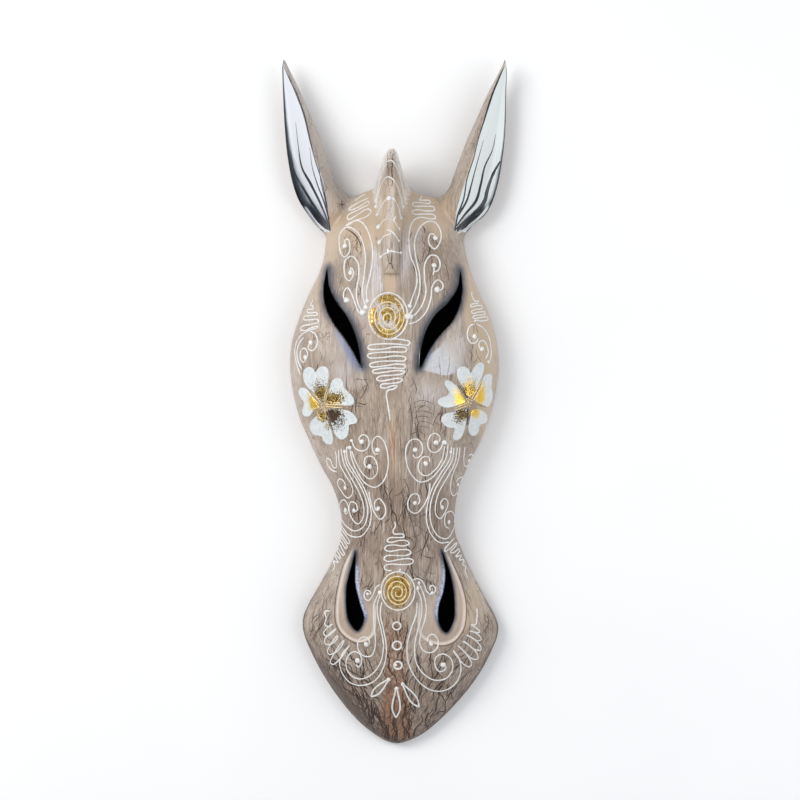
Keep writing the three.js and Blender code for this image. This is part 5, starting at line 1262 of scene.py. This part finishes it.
for loop, spots, brown in (
    ([(466.6, 397), (463, 387.6), (459.1, 381.7), (456.9, 375.4), (457.3, 370.3), (460.6, 366.8), (465.1, 366.5), (468.5, 369.3), (470.4, 372.9), (473.1, 368.8), (476.6, 364.3), (480.6, 362.1), (483.3, 363.6), (483.9, 368.6), (482.1, 375.4), (479.2, 382.3), (475.2, 390.3), (470.9, 397.6)],
     ((468.8, 390.5, 7, 9, 1.05), (470.6, 384, 7.5, 8, 0.6)), 0.48),
    ([(474.6, 401.2), (476.2, 395.2), (479.3, 388.4), (481.8, 381.3), (483.8, 376.4), (487, 373.7), (490.7, 373.7), (491.9, 376.8), (491.3, 382.3), (491, 388), (492.1, 392.6), (492.1, 398.3), (490.1, 403.7), (487.3, 406.9), (483.1, 405.9), (478.2, 403.8)],
     ((479.4, 395.4, 5, 9, 1.2), (482, 388, 4.6, 8, 0.6)), -1.0),
    ([(472.8, 409.4), (469.4, 418.9), (468.2, 426.9), (468.9, 432.9), (471.5, 435.9), (475.2, 435.4), (478.1, 431.2), (480, 424.3), (484.4, 423.2), (487.1, 419.9), (486.6, 415.1), (483.3, 411.1), (478.6, 408.9)],
     ((474.6, 411.8, 4.8, 6.5, 1.0),), -0.7),
    ([(466.8, 409.4), (460.6, 409.6), (453.9, 412), (445.9, 413.4), (442, 416.8), (441.2, 421.1), (444.2, 425.4), (449.1, 427.7), (454.3, 428.4), (453, 434.9), (453.3, 439.2), (455.6, 440.8), (459.8, 439), (463.2, 433.5), (465.4, 425.7), (466.7, 417.7)],
     ((461.6, 414, 6.6, 6, 1.15), (458.6, 418, 6.6, 7, 0.75)), 0.8),
    ([(465.6, 402.2), (462, 395.2), (458.5, 388.3), (454.7, 384.2), (450.3, 380.9), (446, 380.3), (444.6, 382.9), (445.9, 387.2), (448.9, 391), (447.6, 394.7), (442.4, 396.9), (438.6, 399.6), (437.8, 402.9), (440.2, 406), (445.7, 407.9), (452.6, 407.1), (459.2, 404.9)],
     ((460.6, 398.6, 6.2, 8, 1.1), (457.6, 393, 6, 7, 0.62)), -0.45),
):
    petal(right_flower, loop, spots, brown)
left_flower.finish("petals_left", PETAL_WHITE)
right_flower.finish("petals_right", PETAL_WHITE)

veins = Paint()
for pts_, w, lf, br in (
    ([(321.4, 402.6), (317.4, 397.2), (312.2, 392.2)], (0.9, 0.8, 0.35), 0.4, 0), ([(319.8, 404.4), (315.6, 400), (311.2, 395)], (0.8, 0.7, 0.35), 0.5, 0),
    ([(324.3, 401), (325.6, 394), (328.4, 385)], (0.9, 0.8, 0.4), 0.5, 0), ([(326, 401.2), (327.6, 394), (330.4, 386.6)], (0.7, 0.7, 0.35), 0.6, 0),
    ([(325.6, 404.2), (336, 404.6), (347, 405.4)], (0.9, 0.8, 0.4), 0.5, 0), ([(325.6, 406.2), (334, 407.2), (343.6, 407.6)], (0.8, 0.7, 0.35), 0.6, 0),
    ([(326.6, 411), (329.4, 419), (332.8, 430)], (0.7, 0.6, 0.3), 0.75, 1.3), ([(322.6, 407.6), (318.2, 411.4), (319.6, 416.6), (323.4, 420)], (0.7, 0.7, 0.6, 0.4), 0.62, 0.1),
    ([(324.6, 408), (326, 413), (325.4, 418)], (0.7, 0.7, 0.4), 0.6, 0.1),
    ([(471, 399.4), (476, 390), (482.2, 378)], (0.9, 0.85, 0.4), 0.52, 0), ([(472.8, 400.8), (477.6, 392), (483.4, 381.4)], (0.8, 0.75, 0.4), 0.56, 0),
    ([(473, 403), (479, 405), (485.6, 407.2)], (0.8, 0.7, 0.4), 0.6, 0.6), ([(467.4, 408.2), (467.6, 416), (466.8, 424.6)], (0.7, 0.6, 0.3), 0.75, 1.2),
    ([(465.6, 403.8), (460, 405.6), (454, 408.4)], (0.9, 0.8, 0.4), 0.55, 0), ([(466.2, 406), (461, 407.8), (455, 410.2)], (0.7, 0.65, 0.35), 0.56, 0),
    ([(467.4, 398.4), (463.6, 392), (459.6, 385.6)], (0.8, 0.7, 0.4), 0.72, 0.9),
):
    veins.stroke(pts_, 1.0, 1.05, step=0.5, widths=np.array(w) * (1.45 if br < 0.5 else 1.1), leaf=lf if br > 0.5 else 0.72 * lf, brown=br)
for i in range(7):
    a = i * 0.9
    veins.dot(323.4 + 1.9 * math.cos(a), 405.2 + 2.4 * math.sin(a), 0.62, 0.75, leaf=0.45)
for i in range(16):
    a = i * 2.4
    veins.dot(468.8 + 0.75 * math.sqrt(i) * math.cos(a) * 1.1, 401.6 + 0.75 * math.sqrt(i) * math.sin(a) * 1.9, 0.62, 0.75, leaf=0.42)
veins.finish("flower_middles", SPIRAL_CREAM)

# ------------------------------------------------------------------ dark painted lines in the ears
ears = Paint()
for pts_, w in (
    ([(283.8, 66), (290, 80), (297, 95.5), (304.6, 117), (309.5, 138.5), (315.4, 161), (321.6, 180.6), (325.8, 200), (329, 223.5), (330, 231)], (0.5, 0.8, 0.9, 0.9, 0.8, 0.8, 0.9, 1.1, 1.4, 0.8)),
    ([(295.7, 122), (298.3, 146), (302, 167.6), (311, 184.4), (320, 202.6), (326, 217), (329.6, 229)], (0.15, 0.5, 1.3, 2.0, 2.2, 2.0, 1.6)),
    ([(309.7, 147), (312.3, 167), (317.4, 184.4), (323.8, 201.4), (328.6, 219)], (0.15, 0.5, 1.1, 1.5, 1.4)),
    ([(318.7, 165), (321.2, 183), (325.6, 202), (329, 220)], (0.15, 0.6, 1.0, 1.1)),
    ([(290.6, 150), (294.0, 171.4), (303.0, 187.4), (313.0, 204), (322.0, 217.4), (328.6, 228)], (0.2, 0.9, 1.6, 2.0, 2.2, 1.8)),
    ([(504.6, 66), (498.2, 80), (491.6, 96.5), (484.4, 120), (478.6, 138), (473.4, 159), (467.0, 179), (463.6, 199), (457.6, 216), (455, 231)], (0.5, 0.8, 0.9, 1.0, 1.0, 0.9, 1.0, 1.3, 1.8, 1.2)),
    ([(483.6, 140), (479.6, 154), (475.2, 170), (471, 186), (466.6, 201), (458.4, 215)], (0.15, 0.6, 0.9, 1.3, 1.8, 2.0)),
    ([(495.8, 134), (492.4, 150), (484.6, 167), (480.8, 184), (476, 200.6), (464, 215.6), (456.6, 226)], (0.15, 0.5, 1.2, 1.7, 2.0, 1.8, 1.4)),
    ([(500.4, 161), (492.4, 175.4), (487.4, 189.6), (484, 202), (473, 214.6), (458.4, 226.6)], (0.9, 1.5, 2.2, 2.8, 2.6, 1.8)),
    ([(484, 203), (480, 213), (470, 219.4), (456.4, 230)], (1.4, 2.4, 3.0, 2.4)),
):
    ears.stroke(pts_, 1.0, 0.3, widths=np.array(w) * 1.6, uneven=0.06)
ears.finish("ear_lines", EAR_BLACK)
pale = Paint()
for pts_, w in (
    ([(307.6, 212.6), (313, 220.4), (320.6, 227.6), (329.6, 231.8)], (0.8, 1.7, 2.2, 1.6)),
    ([(457, 233.2), (465, 229.6), (473, 224.6), (479.6, 219.6)], (1.0, 2.2, 1.9, 0.8)),
):
    pale.stroke(pts_, 1.0, 0.3, widths=w, uneven=0.1)
pale.finish("ear_rim_paint", PETAL_WHITE)

# ------------------------------------------------------------------ painted highlights: crisp pale streaks down the sides of the bridge, where its shoulders catch the light
HIGHLIGHT_STREAK_PAINT = paint("painted_highlight_streak", (216, 212, 222), (190, 184, 186), rough=0.42, coat=0.1)
streaks = Paint()
for pts_, w in (
    ([(379.4, 266), (380.2, 276), (380.8, 286), (380.4, 294)], 1.25), ([(376.8, 248), (377.2, 262), (377.8, 278), (377.6, 293)], 0.8), ([(374.6, 243), (374.2, 256), (375, 270), (375.2, 288)], 0.6),
    ([(371.8, 246), (372.2, 258), (371.8, 272)], 0.45), ([(382.2, 280), (382.4, 288), (382.2, 294)], 0.5), ([(403.4, 232), (403.2, 248), (404, 266), (403.6, 284)], 0.55),
    ([(406.6, 236), (407, 250), (406.4, 268)], 0.5), ([(400.8, 262), (401.6, 276), (402.4, 290)], 0.5), ([(409.8, 244), (410.2, 256), (409.8, 268)], 0.4),
    ([(388.4, 206), (388, 216), (388.6, 230)], 0.7), ([(392, 204), (392.4, 214), (391.8, 224)], 0.55), ([(385.4, 208), (385.8, 218)], 0.4), ([(418.6, 344), (419.4, 356), (419, 366)], 0.3),
):
    streaks.stroke(pts_, 1.0, 0.07, widths=np.array([0.25] + [1.0] * (len(pts_) - 2) + [0.25]) * w, uneven=0.3)
streaks.finish("bridge_highlights", HIGHLIGHT_STREAK_PAINT)

# ------------------------------------------------------------------ long fine cracks, down the grain and forking
crack_rng = np.random.default_rng(41)
STEP_PX = 3.0


def solid_wood(px, py):
    """True where a place in the picture lies on bare carved wood"""
    x, y = at_px(np.array([px]), np.array([py]), 42)
    if inside(head_outline, x, y)[0] < 2.2 and y[0] < 130:
        return False
    if max(inside(e, x, y)[0] for e in eyes) > -3.2 or max(inside(e, x, y)[0] for e in nostrils) > -2.4:
        return False
    return all(inside(d_, x, y)[0] < 0.2 or (abs(x[0]) < 32 and y[0] > -140) for d_ in dishes)


def lean_at(px, py):
    """the grain fans out over the muzzle and closes again at the chin"""
    k = (px - 397) / 75
    return 0.55 * k * float(smooth(545, 590, py)) - 1.35 * k * float(smooth(612, 660, py))


def crack(p, px, py, length, width, wander=0.27, forks=1, turn=0.0):
    path, a = [(px, py)], 0.0
    for i in range(max(3, int(length / STEP_PX))):
        a = a * 0.62 + crack_rng.normal(0, wander)
        b = a + turn + lean_at(px, py)
        px, py = px + STEP_PX * math.sin(b), py + STEP_PX * math.cos(b)
        if not solid_wood(px, py):
            break
        path.append((px, py))
    if len(path) < 4:
        return
    n_ = len(path)
    swell = crack_rng.uniform(0.55, 1.0, n_) * np.sin(np.linspace(0.12, 3.02, n_)) ** 0.5
    k = 1.16 + 0.34 * float(smooth(430, 480, path[0][1])) + 0.35 * float(smooth(630, 690, path[0][1]))
    p.stroke(path, 1.0, 0.07, step=0.9, widths=k * width * swell, uneven=0.3)
    for _ in range(forks):
        if n_ > 6 and crack_rng.random() < 0.7:
            j = int(crack_rng.integers(2, n_ - 2))
            crack(p, path[j][0], path[j][1], length * crack_rng.uniform(0.25, 0.5), width * 0.75, wander, 0, turn + crack_rng.choice([-1, 1]) * crack_rng.uniform(0.45, 1.0))


CRACK_BROWN = paint("crack_line", (74, 53, 42), (46, 33, 27), rough=0.62, coat=0.0)
cracks = Paint()
for x0, x1, y0, y1, count, l0, l1, w0, w1 in (
    (343, 440, 455, 545, 34, 16, 54, 0.42, 0.85), (352, 388, 540, 600, 9, 14, 34, 0.4, 0.75), (408, 440, 545, 600, 9, 14, 34, 0.4, 0.75),
    (310, 345, 575, 640, 12, 14, 40, 0.35, 0.6), (462, 492, 575, 640, 12, 14, 40, 0.35, 0.6),
    (318, 380, 640, 715, 26, 14, 50, 0.4, 0.9), (412, 478, 640, 715, 24, 14, 50, 0.4, 0.85), (382, 412, 612, 735, 24, 18, 60, 0.4, 0.85),
    (345, 450, 700, 738, 22, 12, 28, 0.45, 0.85),
    (335, 378, 425, 500, 9, 12, 34, 0.35, 0.6), (410, 452, 395, 470, 13, 12, 36, 0.4, 0.7),
    (346, 362, 226, 262, 5, 10, 22, 0.4, 0.7), (408, 432, 228, 262, 6, 10, 24, 0.4, 0.7), (462, 478, 305, 365, 6, 12, 30, 0.4, 0.6),
    (300, 335, 335, 365, 5, 10, 24, 0.35, 0.55), (350, 372, 300, 420, 9, 12, 36, 0.35, 0.6), (404, 420, 330, 420, 6, 12, 32, 0.35, 0.6),
    (352, 366, 262, 330, 4, 12, 30, 0.35, 0.55), (425, 445, 262, 300, 3, 12, 26, 0.35, 0.55),
):
    for _ in range(count):
        crack(cracks, crack_rng.uniform(x0, x1), crack_rng.uniform(y0, y1), crack_rng.uniform(l0, l1), crack_rng.uniform(w0, w1))
for _ in range(26):  # darker fissures low down on the left edge
    t = crack_rng.uniform(0, 1)
    crack(cracks, 318 + 52 * t + crack_rng.uniform(2, 14), 655 + 62 * t - crack_rng.uniform(0, 10), crack_rng.uniform(10, 26), crack_rng.uniform(0.6, 1.2), 0.22)
for _ in range(12):
    t = crack_rng.uniform(0, 1)
    crack(cracks, 478 - 48 * t - crack_rng.uniform(2, 12), 655 + 62 * t - crack_rng.uniform(0, 10), crack_rng.uniform(10, 22), crack_rng.uniform(0.5, 0.9), 0.22)
for side, x_a, x_b in ((-1, 344, 309), (1, 458, 489)):  # fine hairlines that run with the outline over the wings of the muzzle
    for _ in range(46 if side < 0 else 26):
        t, u = crack_rng.uniform(0, 1), crack_rng.uniform(0, 1)
        px, py = x_a + (x_b - x_a) * t - side * 16 * u, 566 + 66 * t + crack_rng.uniform(-4, 4)
        path = []
        for _ in range(int(crack_rng.uniform(4, 9))):
            path.append((px, py))
            px, py = px + side * 1.35 + crack_rng.normal(0, 0.28), py + 2.6
            if not solid_wood(px, py):
                break
        if len(path) > 3:
            cracks.stroke(path, 1.0, 0.05, step=0.9, widths=crack_rng.uniform(0.24, 0.4) * np.sin(np.linspace(0.15, 3.0, len(path))) ** 0.5, uneven=0.3)
for _ in range(60):  # short hairlines anywhere along the grain of the neck and the cheeks
    px, py = crack_rng.uniform(318, 470), crack_rng.uniform(345, 540)
    path = []
    for _ in range(int(crack_rng.uniform(4, 10))):
        if not solid_wood(px, py):
            break
        path.append((px, py))
        px, py = px + crack_rng.normal(0, 0.4), py + 3.0
    if len(path) > 3:
        cracks.stroke(path, 1.0, 0.05, step=0.9, widths=crack_rng.uniform(0.22, 0.36) * np.sin(np.linspace(0.15, 3.0, len(path))) ** 0.5, uneven=0.3)
low_rim = offset_ring(outline, 0.75)
low_rim = low_rim[low_rim[:, 1] < -126]
low_rim = low_rim[np.argsort(np.arctan2(low_rim[:, 1] + 120, low_rim[:, 0] - 2))]
k_rim = MM_PER_PX * (CAM_H - 10) / CAM_H
low_rim = np.c_[400 + (low_rim[:, 0] - CAM_X) / k_rim, 400 - (low_rim[:, 1] - CAM_Y) / k_rim]
cracks.stroke([tuple(v) for v in low_rim[::4]], 0.95, 0.06, step=1.2, uneven=0.5)
cracks.stroke([(476.6, 668.4), (479, 670), (481.4, 671.4)], 1.0, 0.06, widths=(0.3, 0.9, 1.2))
for pts_, w in (
    ([(344, 228), (350, 231), (356, 236), (360, 243), (361.4, 250)], 0.85), ([(356, 236), (357.4, 243), (356.6, 250)], 0.5), ([(422, 225.6), (424.6, 229.4), (425, 233.6)], 1.0),
    ([(430.4, 246), (432, 262), (428.6, 281)], 0.4), ([(336, 203), (341, 205), (345.4, 203.4)], 0.6), ([(341.4, 198.6), (341.8, 204), (342.4, 209.6)], 0.6), ([(353, 380), (358, 379), (363, 379.8), (369, 379)], 0.42),
    ([(352, 404), (358, 402.8), (364, 404.4), (368, 403.6)], 0.6), ([(350, 407), (357, 406), (363, 406.8)], 0.36), ([(352, 392), (353, 402), (351.6, 412), (352.6, 424)], 0.5),
    *(([(413 + (i % 3), 403 + 5.2 * i), (420, 400.6 + 5.2 * i), (427.4, 401.4 + 5.2 * i), (434 - (i % 2) * 3, 404.6 + 5.2 * i)], 0.42 - 0.03 * i) for i in range(6)),
    ([(411.6, 396), (410.8, 408), (412.4, 420), (411.4, 434)], 0.55), ([(433.4, 396), (434.2, 408), (433, 419)], 0.4),
    ([(388.2, 152), (387.4, 160), (388.4, 169), (387.8, 178), (388.6, 187)], 0.7), ([(392.6, 153), (392.8, 162), (391.8, 171), (392.6, 180), (391.8, 188)], 0.6),
    ([(387.6, 253.4), (387.8, 257.4), (388.5, 261), (388.9, 263.2)], 0.45), ([(391.5, 252.6), (391.3, 257.8), (391.4, 261.6), (391.2, 263.2)], 0.55), ([(388.3, 263.2), (390, 263.5), (391.9, 263.1)], 1.0), ([(391.5, 262.8), (392.1, 266), (393.3, 269.6)], 0.85), ([(388.6, 263.4), (387.7, 266.2), (385.8, 270.6)], 0.4),
    ([(399.6, 236), (399, 246), (399.6, 256), (398.6, 268)], 0.55),
):
    cracks.stroke(pts_, 1.0, 0.08, widths=np.array([0.4] + [1.0] * (len(pts_) - 2) + [0.3]) * w, uneven=0.3)
cracks.finish("grain_cracks", CRACK_BROWN)

# ------------------------------------------------------------------ floor and light
def floor():
    n = Nodes("floor_card")
    v = n.noise(n.coords(220, 220, 220), 2, 0.5)
    n.link(n.mix(n.step(v, 0.3, 0.7), lin((246, 246, 246)), lin((249, 249, 249))), n.shader.inputs["Base Color"])
    n.shader.inputs["Roughness"].default_value = 0.75
    me = bpy.data.meshes.new("floor")
    me.from_pydata([(-6, -6, 0), (6, -6, 0), (6, 6, 0), (-6, 6, 0)], [], [(0, 1, 2, 3)])
    me.materials.append(n.material)
    ob = bpy.data.objects.new("floor", me)
    ob.location = (0, 0, -0.0004)
    bpy.context.scene.collection.objects.link(ob)


floor()
scene = bpy.context.scene
scene.view_settings.view_transform = "Standard"
scene.view_settings.look = "None"
world = bpy.data.worlds.new("studio")
world.use_nodes = True
world.node_tree.nodes["Background"].inputs[0].default_value = (0.93, 0.96, 1.0, 1)
world.node_tree.nodes["Background"].inputs[1].default_value = 0.52
scene.world = world


def area(name, place, size, power, tone=(1, 1, 1), target=(0, 0, 0.03)):
    d = bpy.data.lights.new(name, "AREA")
    d.shape = "RECTANGLE"
    d.size, d.size_y = size
    d.energy = power
    d.color = tone
    o = bpy.data.objects.new(name, d)
    o.location = place
    o.rotation_euler = (Vector(target) - Vector(place)).to_track_quat("-Z", "Y").to_euler()
    bpy.context.scene.collection.objects.link(o)


area("key", (-1.1, 0.75, 1.5), (0.9, 0.9), 17, (1, 0.985, 0.96))
area("fill", (1.3, -0.2, 1.3), (0.8, 1.4), 6, (0.95, 0.97, 1))
area("strip_left", (-0.75, 0.1, 0.75), (0.12, 1.2), 2.4, (0.97, 0.98, 1))
area("strip_right", (0.75, 0.1, 0.75), (0.12, 1.2), 1.6, (0.97, 0.98, 1))
